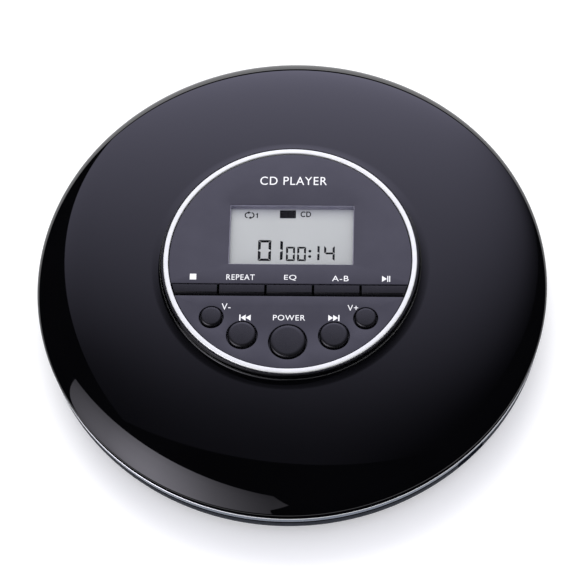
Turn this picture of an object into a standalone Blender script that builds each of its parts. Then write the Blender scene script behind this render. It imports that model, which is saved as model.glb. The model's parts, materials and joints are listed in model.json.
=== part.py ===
"""Portable CD player: a round case with a hinged lid, a control pod in the lid and a disc mechanism.

Lengths below are in millimetres and become metres when a mesh is made. The origin is on the
surface that the player stands on, under the middle of the case. +Z is up and -Y is the front.
"""

import math

import bmesh
import bpy
from mathutils import Matrix, Vector

MM = 0.001

# Turned outlines
SIDES = 48  # sides of the large turned pieces
SMALL_SIDES = 16  # sides of buttons, screws and other small round pieces
LID_RADIUS = 70.0
LID_EDGE_Z = 14.5  # underside of the lid's edge
DOME_FOOT_Z = 14.9
DOME_RISE = 12.14
DOME_SPREAD = 2.4
DOME_ROUNDING = 1.4
LID_WALL = 1.6
COLLAR_RADIUS = 34.55
LEDGE_RADIUS = 31.2
LEDGE_Z = 26.2

# Control pod
RING_OUTER = 34.36
RING_INNER = 33.0
RING_TOP_Z = 28.0
PANEL_RADIUS = 32.8
PANEL_TOP_Z = 27.7
PANEL_UNDER_Z = 26.5
UPPER_PANEL_EDGE_Y = -7.5
LOWER_PANEL_EDGE_Y = -11.3
WINDOW_CENTRE = (0.2, 7.6)
WINDOW_SIZE = (33.9, 18.4)
KEY_PITCH = 12.8
KEY_GAP = 0.6
KEY_BACK_Y = -7.7
KEY_FRONT_Y = -10.8
KEY_NAMES = ("key_stop", "key_repeat", "key_eq", "key_ab", "key_play")
BUTTONS = {  # name: (x, y, radius of the cap)
    "button_volume_down": (-20.7, -17.8, 2.95),
    "button_previous": (-12.3, -23.1, 3.85),
    "button_power": (0.0, -25.0, 4.85),
    "button_next": (12.3, -23.1, 3.85),
    "button_volume_up": (20.7, -17.8, 2.95),
}
BUTTON_PLAY = 0.3  # gap round each cap
BUTTON_TOP_Z = 28.5
STEM_RADIUS = 1.5
STEM_UNDER_Z = 24.2
BOARD_RADIUS = 29.9
POD_SCREW_RADIUS = 31.8
POD_SCREW_ANGLES = (90.0, 210.0, 330.0)
COVER_Z = (19.9, 20.9)

# Hinge and latch
HINGE_Y = 68.3
HINGE_Z = 14.35
HINGE_BARREL_RADIUS = 1.0
HINGE_BORE_RADIUS = 0.55
HINGE_PIN_RADIUS = 0.48
LATCH_ANGLE = -45.0  # the release button's direction from the middle

# Lower case and deck
CASE_WALL_RADIUS = 67.4  # at the bottom of the groove for the band
CASE_OUTER_RADIUS = 69.4
CASE_INNER_RADIUS = 66.1
BAND_INNER = 67.7
BAND_OUTER = 69.5
BAND_Z = (9.95, 12.6)
BAND_GAP = 0.3  # between the band and the two edges of its groove
CASE_TOP_Z = 14.2
FLOOR_Z = (1.0, 2.4)
DECK_Z = (12.4, 13.4)
DECK_RIM_Z = 14.2
HUB_OPENING_RADIUS = 16.0
FOOT_CIRCLE = 52.0
FOOT_RADIUS = 4.5
FOOT_ANGLES = (45.0, 135.0, 225.0, 315.0)
CASE_SCREW_CIRCLE = 57.0
CASE_SCREW_ANGLES = (60.0, 120.0, 240.0, 300.0)
HOLD_ANGLE = 32.0
JACK_Y = 14.0
JACK_Z = 7.9

# Disc mechanism
SEAT_Z = 15.6  # the turntable's top face, which the disc lies on
PLATE_Z = (10.6, 11.4)
DAMPERS = ((-18.0, 12.0), (27.0, -37.0), (-19.0, -44.0))
LENS_START_Y = -24.5
SLED_TRAVEL = 33.0
TURRET_RADIUS = 4.2
ROD_X = 11.5
ROD_Z = 7.8
ROD_RADIUS = 1.0
SLED_HALF_WIDTH = 13.6
SLED_Z = (5.4, 10.2)
RACK_LINE_X = 18.5
RACK_MODULE = 0.5
GEAR_SMALL_TEETH = 12
GEAR_BIG_TEETH = 30
PINION_TEETH = 10
STAGE_MODULE = 0.4
GEAR_CENTRE = (RACK_LINE_X + RACK_MODULE * GEAR_SMALL_TEETH / 2, -26.0)
PINION_ANGLE = 50.0
PINION_DISTANCE = STAGE_MODULE * (GEAR_BIG_TEETH + PINION_TEETH) / 2
BACKLASH = 0.12
PRESSURE_ANGLE = math.radians(20)


def clear_scene():
    for obj in list(bpy.data.objects):
        bpy.data.objects.remove(obj, do_unlink=True)


def material(name, color, roughness, metallic=0.0):
    made = bpy.data.materials.get(name) or bpy.data.materials.new(name)
    made.use_nodes = True
    made.diffuse_color = (*color, 1.0)
    shader = made.node_tree.nodes["Principled BSDF"]
    shader.inputs["Base Color"].default_value = (*color, 1.0)
    shader.inputs["Roughness"].default_value = roughness
    shader.inputs["Metallic"].default_value = metallic
    return made


def add_object(name, mesh_maker, paint=None, origin=(0.0, 0.0, 0.0)):
    """Makes an object from a bmesh in millimetres. Its origin is the given point."""
    mesh_maker.normal_update()
    bmesh.ops.recalc_face_normals(mesh_maker, faces=mesh_maker.faces)
    bmesh.ops.translate(mesh_maker, vec=-Vector(origin), verts=mesh_maker.verts)
    bmesh.ops.scale(mesh_maker, vec=(MM, MM, MM), verts=mesh_maker.verts)
    mesh = bpy.data.meshes.new(name)
    mesh_maker.to_mesh(mesh)
    mesh_maker.free()
    obj = bpy.data.objects.new(name, mesh)
    obj.location = Vector(origin) * MM
    bpy.context.scene.collection.objects.link(obj)
    mesh.shade_smooth()
    mesh.set_sharp_from_angle(angle=math.radians(30))
    if paint:
        mesh.materials.append(paint)
    return obj


def turned(profile, centre=(0.0, 0.0), sides=SIDES):
    """A closed profile of (radius, z) points, turned about the vertical line through centre."""
    made = bmesh.new()
    points = [made.verts.new((centre[0] + r, centre[1], z)) for r, z in profile]
    edges = [made.edges.new((points[i - 1], points[i])) for i in range(len(points))]
    bmesh.ops.spin(
        made,
        geom=points + edges,
        cent=(*centre, 0.0),
        axis=(0.0, 0.0, 1.0),
        angle=math.tau,
        steps=sides,
        use_merge=True,
    )
    bmesh.ops.remove_doubles(made, verts=made.verts, dist=1e-5)
    bmesh.ops.dissolve_degenerate(made, dist=1e-6, edges=made.edges)
    on_axis = [e for e in made.edges if not e.link_faces]
    bmesh.ops.delete(made, geom=on_axis, context="EDGES")
    return made


def plate(outline, low, high, holes=()):
    """A flat plate between two heights, with an outline and holes given as lists of (x, y)."""
    made = bmesh.new()
    edges = []
    for loop in (outline, *holes):
        points = [made.verts.new((x, y, low)) for x, y in loop]
        edges += [made.edges.new((points[i - 1], points[i])) for i in range(len(points))]
    bmesh.ops.triangle_fill(made, edges=edges, use_beauty=True, use_dissolve=False)
    result = bmesh.ops.extrude_face_region(made, geom=list(made.faces))
    moved = [v for v in result["geom"] if isinstance(v, bmesh.types.BMVert)]
    bmesh.ops.translate(made, vec=(0.0, 0.0, high - low), verts=moved)
    return made


def circle(radius, centre=(0.0, 0.0), sides=SMALL_SIDES):
    steps = [math.tau * i / sides for i in range(sides)]
    return [(centre[0] + radius * math.cos(a), centre[1] + radius * math.sin(a)) for a in steps]


def rectangle(x0, x1, y0, y1):
    return [(x0, y0), (x1, y0), (x1, y1), (x0, y1)]


def slot_outline(x, y0, y1, radius, sides=SMALL_SIDES):
    """A slot along Y with round ends, whose ends' centres are at y0 and y1."""
    half = sides // 2
    top = [math.pi * i / half for i in range(half + 1)]
    upper = [(x + radius * math.cos(a), y1 + radius * math.sin(a)) for a in top]
    lower = [(x - radius * math.cos(a), y0 - radius * math.sin(a)) for a in top]
    return upper + lower


def segment_outline(radius, edge_y, above, sides=28):
    """The part of a circle above or below the line y = edge_y."""
    edge = math.asin(edge_y / radius)
    start, end = (edge, math.pi - edge) if above else (math.pi - edge, math.tau + edge)
    steps = [start + (end - start) * i / sides for i in range(sides + 1)]
    return [(radius * math.cos(a), radius * math.sin(a)) for a in steps]


def block(x0, x1, y0, y1, z0, z1):
    return plate(rectangle(x0, x1, y0, y1), z0, z1)


def rod(start, end, radius, sides=12):
    """A round bar between two points."""
    start, end = Vector(start), Vector(end)
    along = end - start
    turn = along.to_track_quat("Z", "Y").to_matrix().to_4x4()
    made = bmesh.new()
    bmesh.ops.create_cone(
        made,
        cap_ends=True,
        segments=sides,
        radius1=radius,
        radius2=radius,
        depth=along.length,
        matrix=Matrix.Translation((start + end) / 2) @ turn,
    )
    return made


def at_angle(made, degrees):
    """Turns a shape made along +X round the case's axis."""
    bmesh.ops.rotate(made, cent=(0, 0, 0), matrix=Matrix.Rotation(math.radians(degrees), 3, "Z"),
                     verts=made.verts)
    return made


def boolean(target, made, operation="DIFFERENCE"):
    """Cuts a helper shape from the target, or joins it on."""
    helper = add_object(f"{target.name}_helper_{len(target.modifiers)}", made)
    helper.hide_render = True
    helper.display_type = "WIRE"
    modifier = target.modifiers.new(f"{operation.lower()}_{len(target.modifiers)}", "BOOLEAN")
    modifier.operation = operation
    modifier.solver = "EXACT"
    modifier.object = helper


def polar(radius, degrees):
    a = math.radians(degrees)
    return radius * math.cos(a), radius * math.sin(a)


def chord_end(radius, y):
    """Where the line at y meets a circle round the middle."""
    return math.sqrt(radius**2 - y**2)


def dome_z(radius):
    """Height of the lid's outer surface."""
    left = max(0.0, 1.0 - (radius / LID_RADIUS) ** DOME_SPREAD)
    return DOME_FOOT_Z + DOME_RISE * left ** (1.0 / DOME_ROUNDING)


def dome_points(inset, start, end, count):
    """Points down the dome, moved inwards along the surface's normal by inset."""
    points = []
    for i in range(count):
        t = i / (count - 1)
        radius = start + (end - start) * math.sin(t * math.pi / 2) ** 0.8
        step = 0.05
        slope = (dome_z(radius - step) - dome_z(min(radius + step, LID_RADIUS))) / (2 * step)
        length = math.hypot(1.0, slope)
        points.append((radius - inset * slope / length, dome_z(radius) - inset / length))
    return points


def lid_shell(gloss):
    outer = [(COLLAR_RADIUS, 27.8), (34.9, 27.7), (35.15, 27.0), (35.5, 26.2), (36.1, 25.6)]
    outer += dome_points(0.0, 37.2, LID_RADIUS, 10)
    rim = [(69.8, 14.6), (69.5, LID_EDGE_Z), (68.3, LID_EDGE_Z)]
    inner = [(68.25, 15.1)] + dome_points(LID_WALL, 36.6, 67.4, 6)[::-1]
    pod = [(35.4, COVER_Z[0]), (33.9, COVER_Z[0]), (33.9, 23.4), (LEDGE_RADIUS, 23.4)]
    seat = [(LEDGE_RADIUS, LEDGE_Z), (COLLAR_RADIUS, LEDGE_Z)]
    lid = add_object("lid_shell", turned(outer + rim + inner + pod + seat), gloss)
    boolean(lid, block(-5.3, 5.3, 66.9, 69.36, 13.0, HINGE_Z + 1.3))
    for side in (-1, 1):
        x0, x1 = sorted((5.5 * side, 10.0 * side))
        barrel = rod((x0, HINGE_Y, HINGE_Z), (x1, HINGE_Y, HINGE_Z), HINGE_BARREL_RADIUS)
        boolean(lid, barrel, "UNION")
        boolean(lid, block(x0, x1, HINGE_Y - 0.9, HINGE_Y + 0.5, HINGE_Z, 15.5), "UNION")
    bore = rod((-11, HINGE_Y, HINGE_Z), (11, HINGE_Y, HINGE_Z), HINGE_BORE_RADIUS)
    boolean(lid, bore)
    channel = [(side * chord_end(COLLAR_RADIUS - 0.1, y), y)
               for side, y in ((-1, -11.5), (1, -11.5), (1, -7.2), (-1, -7.2))]
    boolean(lid, plate(channel, 24.9, 26.6))
    for angle in POD_SCREW_ANGLES:
        x, y = polar(POD_SCREW_RADIUS, angle)
        boolean(lid, rod((x, y, 21.1), (x, y, 23.6), 1.5), "UNION")
        boolean(lid, rod((x, y, 20.0), (x, y, 23.1), 1.0))
    boolean(lid, block(16.4, 24.2, 22.0, 33.5, 21.2, 22.4))
    return lid


def trim_ring(silver):
    profile = [
        (RING_INNER, 26.5),
        (RING_INNER, 27.75),
        (RING_INNER + 0.25, RING_TOP_Z),
        (RING_OUTER - 0.3, RING_TOP_Z),
        (RING_OUTER, 27.75),
        (RING_OUTER, 26.5),
    ]
    return add_object("trim_ring", turned(profile), silver)


def upper_panel(gloss):
    cx, cy = WINDOW_CENTRE
    half_x, half_y = WINDOW_SIZE[0] / 2, WINDOW_SIZE[1] / 2
    window = rectangle(cx - half_x, cx + half_x, cy - half_y, cy + half_y)
    outline = segment_outline(PANEL_RADIUS, UPPER_PANEL_EDGE_Y, above=True)
    return add_object("upper_panel", plate(outline, PANEL_UNDER_Z, PANEL_TOP_Z, [window]), gloss)


def lower_panel(gloss):
    outline = segment_outline(PANEL_RADIUS, LOWER_PANEL_EDGE_Y, above=False)
    holes = [circle(r + BUTTON_PLAY, (x, y)) for x, y, r in BUTTONS.values()]
    return add_object("lower_panel", plate(outline, PANEL_UNDER_Z, PANEL_TOP_Z, holes), gloss)


def display(clear, liquid_crystal, white):
    cx, cy = WINDOW_CENTRE
    half_x, half_y = WINDOW_SIZE[0] / 2 - 0.15, WINDOW_SIZE[1] / 2 - 0.15
    window = block(cx - half_x, cx + half_x, cy - half_y, cy + half_y, 26.5, 27.2)
    add_object("display_window", window, clear)
    cell = block(cx - 18.2, cx + 18.2, cy - 10.5, cy + 10.5, 24.4, 26.2)
    add_object("display_cell", cell, liquid_crystal)
    holder = block(cx - 18.6, cx + 18.6, cy - 10.9, cy + 10.9, 22.7, 24.1)
    add_object("display_holder", holder, white)


def key_profile():
    """The key's section across its length, as (y, z)."""
    return [
        (KEY_BACK_Y, 25.6),
        (KEY_BACK_Y, 27.4),
        (KEY_BACK_Y - 0.15, 27.5),
        (KEY_FRONT_Y + 0.75, 27.35),
        (KEY_FRONT_Y + 0.25, 27.05),
        (KEY_FRONT_Y, 26.5),
        (KEY_FRONT_Y, 25.6),
    ]


def keys(dark):
    """Five keys side by side. The outer two end on the ring's circle."""
    middle = len(KEY_NAMES) // 2
    for i, name in enumerate(KEY_NAMES):
        centre = (i - middle) * KEY_PITCH
        x0, x1 = centre - (KEY_PITCH - KEY_GAP) / 2, centre + (KEY_PITCH - KEY_GAP) / 2
        made = bmesh.new()
        ends = []
        for x in (x0, x1):
            at_ring = abs(x) > 2 * KEY_PITCH
            reach = [math.copysign(chord_end(PANEL_RADIUS - 0.15, y), x) if at_ring else x
                     for y, _ in key_profile()]
            ends.append([made.verts.new((r, y, z)) for r, (y, z) in zip(reach, key_profile())])
        count = len(ends[0])
        for end in ends:
            made.faces.new(end)
        for j in range(count):
            made.faces.new((ends[0][j - 1], ends[0][j], ends[1][j], ends[1][j - 1]))
        y = (KEY_BACK_Y + KEY_FRONT_Y) / 2
        key = add_object(name, made, dark, (centre, y, STEM_UNDER_Z))
        boolean(key, block(centre - 2, centre + 2, y - 1, y + 1, STEM_UNDER_Z, 25.9), "UNION")


def round_buttons(dark):
    for name, (x, y, radius) in BUTTONS.items():
        profile = [
            (0.0, BUTTON_TOP_Z),
            (radius - 0.55, BUTTON_TOP_Z - 0.17),
            (radius, BUTTON_TOP_Z - 0.7),
            (radius, 26.2),
            (radius + 0.7, 26.2),
            (radius + 0.7, 25.6),
            (STEM_RADIUS, 25.6),
            (STEM_RADIUS, STEM_UNDER_Z),
            (0.0, STEM_UNDER_Z),
        ]
        add_object(name, turned(profile, (x, y), SMALL_SIDES), dark, (x, y, STEM_UNDER_Z))


def pod_inside(rubber, green, dark, steel):
    pad = segment_outline(BOARD_RADIUS - 0.2, -6.4, above=False)
    add_object("key_pad", plate(pad, 22.7, 23.5), rubber)
    add_object("key_board", plate(circle(BOARD_RADIUS, sides=SIDES), 21.3, 22.4), green)
    holes = [circle(1.05, polar(POD_SCREW_RADIUS, a)) for a in POD_SCREW_ANGLES]
    add_object("pod_cover", plate(circle(33.6, sides=SIDES), *COVER_Z, holes), dark)
    for i, angle in enumerate(POD_SCREW_ANGLES, 1):
        head = [(0.0, 22.9), (0.8, 22.9), (0.8, 19.75), (1.6, 19.75), (1.6, 19.2), (0.0, 19.0)]
        screw = turned(head, polar(POD_SCREW_RADIUS, angle), SMALL_SIDES)
        add_object(f"pod_screw_{i}", screw, steel)


def strip(points, x0, x1, thickness):
    """A flat ribbon of the given width along X that follows (y, z) points."""
    made = bmesh.new()
    rows = []
    for y, z in points:
        corners = ((x0, y, z), (x1, y, z), (x1, y, z + thickness), (x0, y, z + thickness))
        rows.append([made.verts.new(c) for c in corners])
    for a, b in zip(rows, rows[1:]):
        for j in range(4):
            made.faces.new((a[j - 1], a[j], b[j], b[j - 1]))
    made.faces.new(rows[0])
    made.faces.new(rows[-1])
    return made


def ribbons(orange):
    """The flat cable in two halves: the real one bends round the hinge between them."""
    path = [(25.2, 21.7), (33.2, 21.7)]
    for y in (38.0, 44.0, 50.0, 55.0, 59.0, 61.5):
        path.append((y, dome_z(math.hypot(y, 23.0)) - LID_WALL * 1.25 - 0.75))
    add_object("lid_ribbon", strip(path, 17.0, 23.0, 0.25), orange)
    lower = [(42.0, 6.3), (56.0, 6.3), (59.5, 7.2), (60.6, 9.0), (61.0, 11.0), (61.3, 14.0)]
    add_object("case_ribbon", strip(lower, 17.0, 23.0, 0.35), orange)


def latch(dark, steel):
    """The lid's catch, the release button that holds it, its leaf spring and the lid switch."""
    blade = plate([(63.4, 10.4), (64.6, 10.4), (64.6, 16.2), (63.4, 16.6), (63.4, 11.6),
                   (62.7, 11.6), (62.7, 10.4)], -4.0, 4.0)
    add_object("lid_catch", upright(blade), dark)
    section = [(60.5, 7.9), (66.2, 7.9), (66.2, 9.4), (61.7, 9.4), (61.7, 12.0), (62.4, 12.0),
               (62.4, 12.9), (60.5, 12.9)]
    origin = (*polar(66.0, LATCH_ANGLE), 9.0)
    button = add_object("release_button", upright(plate(section, -2.5, 2.5)), dark, origin)
    cap = at_angle(block(65.9, 68.8, -4.2, 4.2, 7.8, 10.2), LATCH_ANGLE)
    boolean(button, cap, "UNION")
    leaf = [(57.0, 2.7), (57.9, 2.7), (57.9, 6.0), (59.0, 8.2), (58.8, 9.3), (58.5, 9.3),
            (58.6, 8.3), (57.5, 6.1), (57.5, 3.1), (57.0, 3.1)]
    add_object("release_spring", upright(plate(leaf, -2.0, 2.0)), steel)
    switch = at_angle(block(61.2, 63.9, 2.9, 7.5, 4.8, 10.0), LATCH_ANGLE)
    add_object("lid_switch", switch, dark)


def upright(made):
    """Stands a plate drawn as (radius, z) on edge and turns it to the latch's direction."""
    bmesh.ops.rotate(made, cent=(0, 0, 0), matrix=Matrix.Rotation(math.pi / 2, 3, "X"),
                     verts=made.verts)
    return at_angle(made, LATCH_ANGLE)


def hinge_gap(start_y):
    return block(-16.5, 16.5, start_y, 71.0, 12.4, 15.0)


def latch_opening():
    return at_angle(block(64.0, 72.0, -4.6, 4.6, 7.45, 10.55), LATCH_ANGLE)


def jack_opening():
    return rod((62.0, JACK_Y, JACK_Z), (72.0, JACK_Y, JACK_Z), 2.95, SMALL_SIDES)


def base_shell(dark):
    outer = [
        (CASE_OUTER_RADIUS, CASE_TOP_Z),
        (CASE_OUTER_RADIUS, BAND_Z[1] + BAND_GAP),
        (CASE_WALL_RADIUS, BAND_Z[1] + BAND_GAP),
        (CASE_WALL_RADIUS, BAND_Z[0] - BAND_GAP),
        (CASE_OUTER_RADIUS, BAND_Z[0] - BAND_GAP),
        (CASE_OUTER_RADIUS, 7.6),
        (68.7, 5.6),
        (67.2, 3.8),
        (65.0, 2.2),
        (62.2, 1.3),
        (59.0, FLOOR_Z[0]),
        (0.0, FLOOR_Z[0]),
    ]
    inner = [
        (0.0, FLOOR_Z[1]),
        (58.6, FLOOR_Z[1]),
        (61.9, 3.0),
        (64.5, 4.2),
        (66.0, 6.2),
        (CASE_INNER_RADIUS, 8.5),
        (CASE_INNER_RADIUS, CASE_TOP_Z),
    ]
    case = add_object("base_shell", turned(outer + inner), dark)
    for x, y in DAMPERS:
        boolean(case, rod((x, y, 2.0), (x, y, 12.1), 1.5), "UNION")
    # Hinge: the cut that the lid's edge swings into, then the middle barrel and its bore.
    boolean(case, hinge_gap(66.9))
    barrel = rod((-5.0, HINGE_Y, HINGE_Z), (5.0, HINGE_Y, HINGE_Z), HINGE_BARREL_RADIUS)
    boolean(case, barrel, "UNION")
    boolean(case, block(-5.0, 5.0, 66.3, HINGE_Y + 0.1, 12.6, HINGE_Z - 0.1), "UNION")
    boolean(case, rod((-6, HINGE_Y, HINGE_Z), (6, HINGE_Y, HINGE_Z), HINGE_BORE_RADIUS))
    # Openings for the release button, the hold slider and the two sockets.
    boolean(case, latch_opening())
    boolean(case, at_angle(block(64.0, 72.0, -4.4, 4.4, 7.3, 9.9), HOLD_ANGLE))
    boolean(case, jack_opening())
    boolean(case, block(63.0, 72.0, -4.8, 4.8, 5.9, 9.7))
    for angle in CASE_SCREW_ANGLES:
        x, y = polar(CASE_SCREW_CIRCLE, angle)
        boolean(case, rod((x, y, 0.0), (x, y, 3.0), 1.3))
        boolean(case, rod((x, y, 0.0), (x, y, 1.7), 2.6))
    for angle in FOOT_ANGLES:
        x, y = polar(FOOT_CIRCLE, angle)
        boolean(case, rod((x, y, 0.0), (x, y, 1.45), FOOT_RADIUS + 0.2, SMALL_SIDES))
    return case


def trim_band(silver):
    low, high = BAND_Z
    profile = [
        (BAND_INNER, low),
        (BAND_INNER, high),
        (BAND_OUTER - 0.25, high),
        (BAND_OUTER, high - 0.25),
        (BAND_OUTER, low + 0.15),
        (BAND_OUTER - 0.15, low),
    ]
    band = add_object("trim_band", turned(profile), silver)
    boolean(band, hinge_gap(BAND_INNER - 10.0))
    boolean(band, latch_opening())
    boolean(band, jack_opening())


def feet_and_screws(rubber, steel):
    for i, angle in enumerate(FOOT_ANGLES, 1):
        x, y = polar(FOOT_CIRCLE, angle)
        foot = [(0.0, 1.3), (FOOT_RADIUS, 1.3), (FOOT_RADIUS, 0.3), (FOOT_RADIUS - 0.3, 0.0), (0.0, 0.0)]
        add_object(f"foot_{i}", turned(foot, (x, y), SMALL_SIDES), rubber)
    for i, angle in enumerate(CASE_SCREW_ANGLES, 1):
        screw = [(0.0, 8.0), (0.95, 8.0), (0.95, 1.55), (2.2, 1.55), (2.2, 1.0), (0.0, 0.85)]
        add_object(f"case_screw_{i}", turned(screw, polar(CASE_SCREW_CIRCLE, angle), 12), steel)


def disc_deck(dark):
    profile = [
        (HUB_OPENING_RADIUS, DECK_Z[1]),
        (61.6, DECK_Z[1]),
        (62.2, DECK_RIM_Z),
        (65.8, DECK_RIM_Z),
        (65.8, 13.2),
        (62.6, 13.2),
        (62.0, DECK_Z[0]),
        (HUB_OPENING_RADIUS, DECK_Z[0]),
    ]
    deck = add_object("disc_deck", turned(profile), dark)
    slot = slot_outline(0.0, LENS_START_Y - SLED_TRAVEL, -14.0, TURRET_RADIUS + 0.7)
    boolean(deck, plate(slot, 11.0, 16.0))
    boolean(deck, at_angle(block(58.9, 65.1, -4.7, 4.7, 11.0, 16.0), LATCH_ANGLE))
    boolean(deck, block(16.4, 23.6, 60.4, 62.8, 11.0, 16.0))
    for angle in CASE_SCREW_ANGLES:
        x, y = polar(CASE_SCREW_CIRCLE, angle)
        boolean(deck, rod((x, y, 2.7), (x, y, 12.9), 2.1), "UNION")
        boolean(deck, rod((x, y, 2.0), (x, y, 8.5), 1.15))
    return deck


def electronics(green, black, cell_wrap, steel):
    outline = [(14.0, -12.0), (58.0, -12.0), (58.0, 20.0), (44.0, 38.0), (14.0, 46.0)]
    board = add_object("main_board", plate(outline, 4.4, 5.4), green)
    chips = ((26, 40, 14, 28, 6.6), (44, 50, -8, -2, 6.3), (26, 34, 0, 8, 6.4), (46, 52, 22, 27, 6.8))
    for x0, x1, y0, y1, top in chips:
        boolean(board, block(x0, x1, y0, y1, 5.2, top), "UNION")
    battery = add_object("battery", block(-57.0, -27.0, -22.0, 24.0, 3.4, 8.6), cell_wrap)
    bevel = battery.modifiers.new("rounded_edges", "BEVEL")
    bevel.width = 0.8 * MM
    bevel.segments = 2
    socket = block(51.0, 62.8, JACK_Y - 3.2, JACK_Y + 3.2, 5.7, 11.0)
    jack = add_object("headphone_socket", socket, black)
    boolean(jack, rod((62.0, JACK_Y, JACK_Z), (67.5, JACK_Y, JACK_Z), 2.6, SMALL_SIDES), "UNION")
    boolean(jack, rod((53.0, JACK_Y, JACK_Z), (69.0, JACK_Y, JACK_Z), 1.8, SMALL_SIDES))
    port = add_object("charging_socket", block(60.5, 68.7, -4.5, 4.5, 6.2, 9.4), steel)
    boolean(port, block(61.5, 70.0, -4.1, 4.1, 6.6, 9.0))
    boolean(port, block(61.0, 67.5, -3.3, 3.3, 7.5, 8.1), "UNION")


def hold_slider(dark):
    """The knob slides along the case wall. It is stored at the unlocked end."""
    origin = (*polar(68.0, HOLD_ANGLE), 8.6)
    knob = at_angle(block(66.6, 69.5, -3.7, 0.7, 7.6, 9.6), HOLD_ANGLE)
    slider = add_object("hold_slider", knob, dark, origin)
    boolean(slider, at_angle(block(64.0, 65.3, -5.2, 2.2, 7.0, 10.2), HOLD_ANGLE), "UNION")
    boolean(slider, at_angle(block(65.1, 66.8, -3.0, 0.0, 8.0, 9.2), HOLD_ANGLE), "UNION")


def mechanism_plate(steel):
    nose = LENS_START_Y - SLED_TRAVEL - TURRET_RADIUS - 2.9
    outline = [(-24.0, 18.0), (-24.0, -50.0), (-15.5, -62.0), (-9.0, nose), (9.0, nose),
               (15.5, -62.0), (30.0, -41.5), (32.5, -41.5), (32.5, -12.0), (24.0, -8.0), (24.0, 18.0)]
    slot = slot_outline(0.0, LENS_START_Y - SLED_TRAVEL, LENS_START_Y, TURRET_RADIUS + 0.4)
    grommets = [circle(2.4, d) for d in DAMPERS]
    base = add_object("mech_plate", plate(outline, *PLATE_Z, [slot, circle(3.0), *grommets]), steel)
    for x in (-ROD_X, ROD_X):
        for y0, y1 in ((-62.8, -61.8), (-15.0, -13.8)):
            boolean(base, block(x - 1.8, x + 1.8, y0, y1, 6.2, 10.8), "UNION")
    gx, gy = GEAR_CENTRE
    boolean(base, rod((gx, gy, 6.4), (gx, gy, 10.9), 0.8), "UNION")


def mechanism_mounts(rubber, steel, black):
    for i, (x, y) in enumerate(DAMPERS, 1):
        spool = [(1.75, 12.0), (3.6, 12.0), (3.6, 11.6), (2.2, 11.6), (2.2, 10.4), (3.6, 10.4),
                 (3.6, 9.8), (1.75, 9.8)]
        add_object(f"damper_{i}", turned(spool, (x, y), 12), rubber)
    for i, x in enumerate((-ROD_X, ROD_X), 1):
        bar = rod((x, -61.2, ROD_Z), (x, -15.2, ROD_Z), ROD_RADIUS)
        add_object(f"guide_rod_{i}", bar, steel)
    can = [(0.0, 10.3), (4.0, 10.3), (9.5, 9.6), (9.5, 5.2), (8.5, 4.8), (0.0, 4.8)]
    add_object("spindle_motor", turned(can, sides=24), steel)
    px, py = pinion_centre()
    motor = [(0.0, 8.7), (3.7, 8.7), (4.0, 8.4), (4.0, 3.4), (0.0, 3.4)]
    add_object("sled_motor", turned(motor, (px, py), SMALL_SIDES), black)


def spindle_hub(dark):
    profile = [
        (0.0, 17.9),
        (5.4, 17.9),
        (6.6, 17.4),
        (7.3, 16.6),
        (7.3, SEAT_Z),
        (14.5, SEAT_Z),
        (14.5, 14.3),
        (13.7, 14.1),
        (3.0, 14.1),
        (3.0, 12.2),
        (1.0, 11.8),
        (1.0, 10.6),
        (0.0, 10.6),
    ]
    add_object("spindle_hub", turned(profile, sides=32), dark, (0.0, 0.0, SEAT_Z))


def sled(black, clear, white):
    y = LENS_START_Y
    outline = [(-SLED_HALF_WIDTH, y - 0.5), (-8.0, y - 5.5), (8.0, y - 5.5), (SLED_HALF_WIDTH, y - 0.5),
               (SLED_HALF_WIDTH, y + 7.0), (-SLED_HALF_WIDTH, y + 7.0)]
    body = add_object("sled", plate(outline, *SLED_Z), black, (0.0, y, ROD_Z))
    boolean(body, rod((0.0, y, 9.8), (0.0, y, 12.6), TURRET_RADIUS, SMALL_SIDES), "UNION")
    boolean(body, rod((0.0, y, 11.0), (0.0, y, 13.0), 1.8))
    for x in (-ROD_X, ROD_X):
        boolean(body, rod((x, y - 9, ROD_Z), (x, y + 9, ROD_Z), ROD_RADIUS + 0.08))
    lens = [(0.0, 14.1), (0.9, 14.02), (1.6, 13.75), (2.0, 13.6), (3.4, 13.6), (3.4, 13.1), (0.0, 13.1)]
    add_object("objective_lens", turned(lens, (0.0, y), SMALL_SIDES), clear, (0.0, y, 13.1))
    add_object("rack", rack_outline(), white, (RACK_LINE_X, GEAR_CENTRE[1], ROD_Z))


def rack_outline():
    """A straight rack whose teeth point to +X, with a gap facing the gear's centre at rest."""
    pitch = math.pi * RACK_MODULE
    first, last = -1.5, 23.5  # the first and last tooth, counted in pitches from the gear
    slope = math.tan(PRESSURE_ANGLE)
    tip, root = 0.85 * RACK_MODULE, 1.25 * RACK_MODULE
    half = pitch / 4 - BACKLASH / 2
    teeth = []
    for i in range(int(last - first) + 1):
        y = GEAR_CENTRE[1] + (first + i) * pitch
        teeth += [
            (RACK_LINE_X - root, y - half - root * slope),
            (RACK_LINE_X + tip, y - half + tip * slope),
            (RACK_LINE_X + tip, y + half - tip * slope),
            (RACK_LINE_X - root, y + half + root * slope),
        ]
    low, high = teeth[0][1] - 0.3, teeth[-1][1] + 0.3
    back = 16.2
    foot = SLED_HALF_WIDTH + 0.25
    y = LENS_START_Y
    outline = [(RACK_LINE_X - root, low), *teeth, (RACK_LINE_X - root, high), (back, high),
               (back, y + 6.0), (foot, y + 6.0), (foot, y + 1.0), (back, y + 1.0), (back, low)]
    return plate(outline, 6.9, 8.7)


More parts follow.
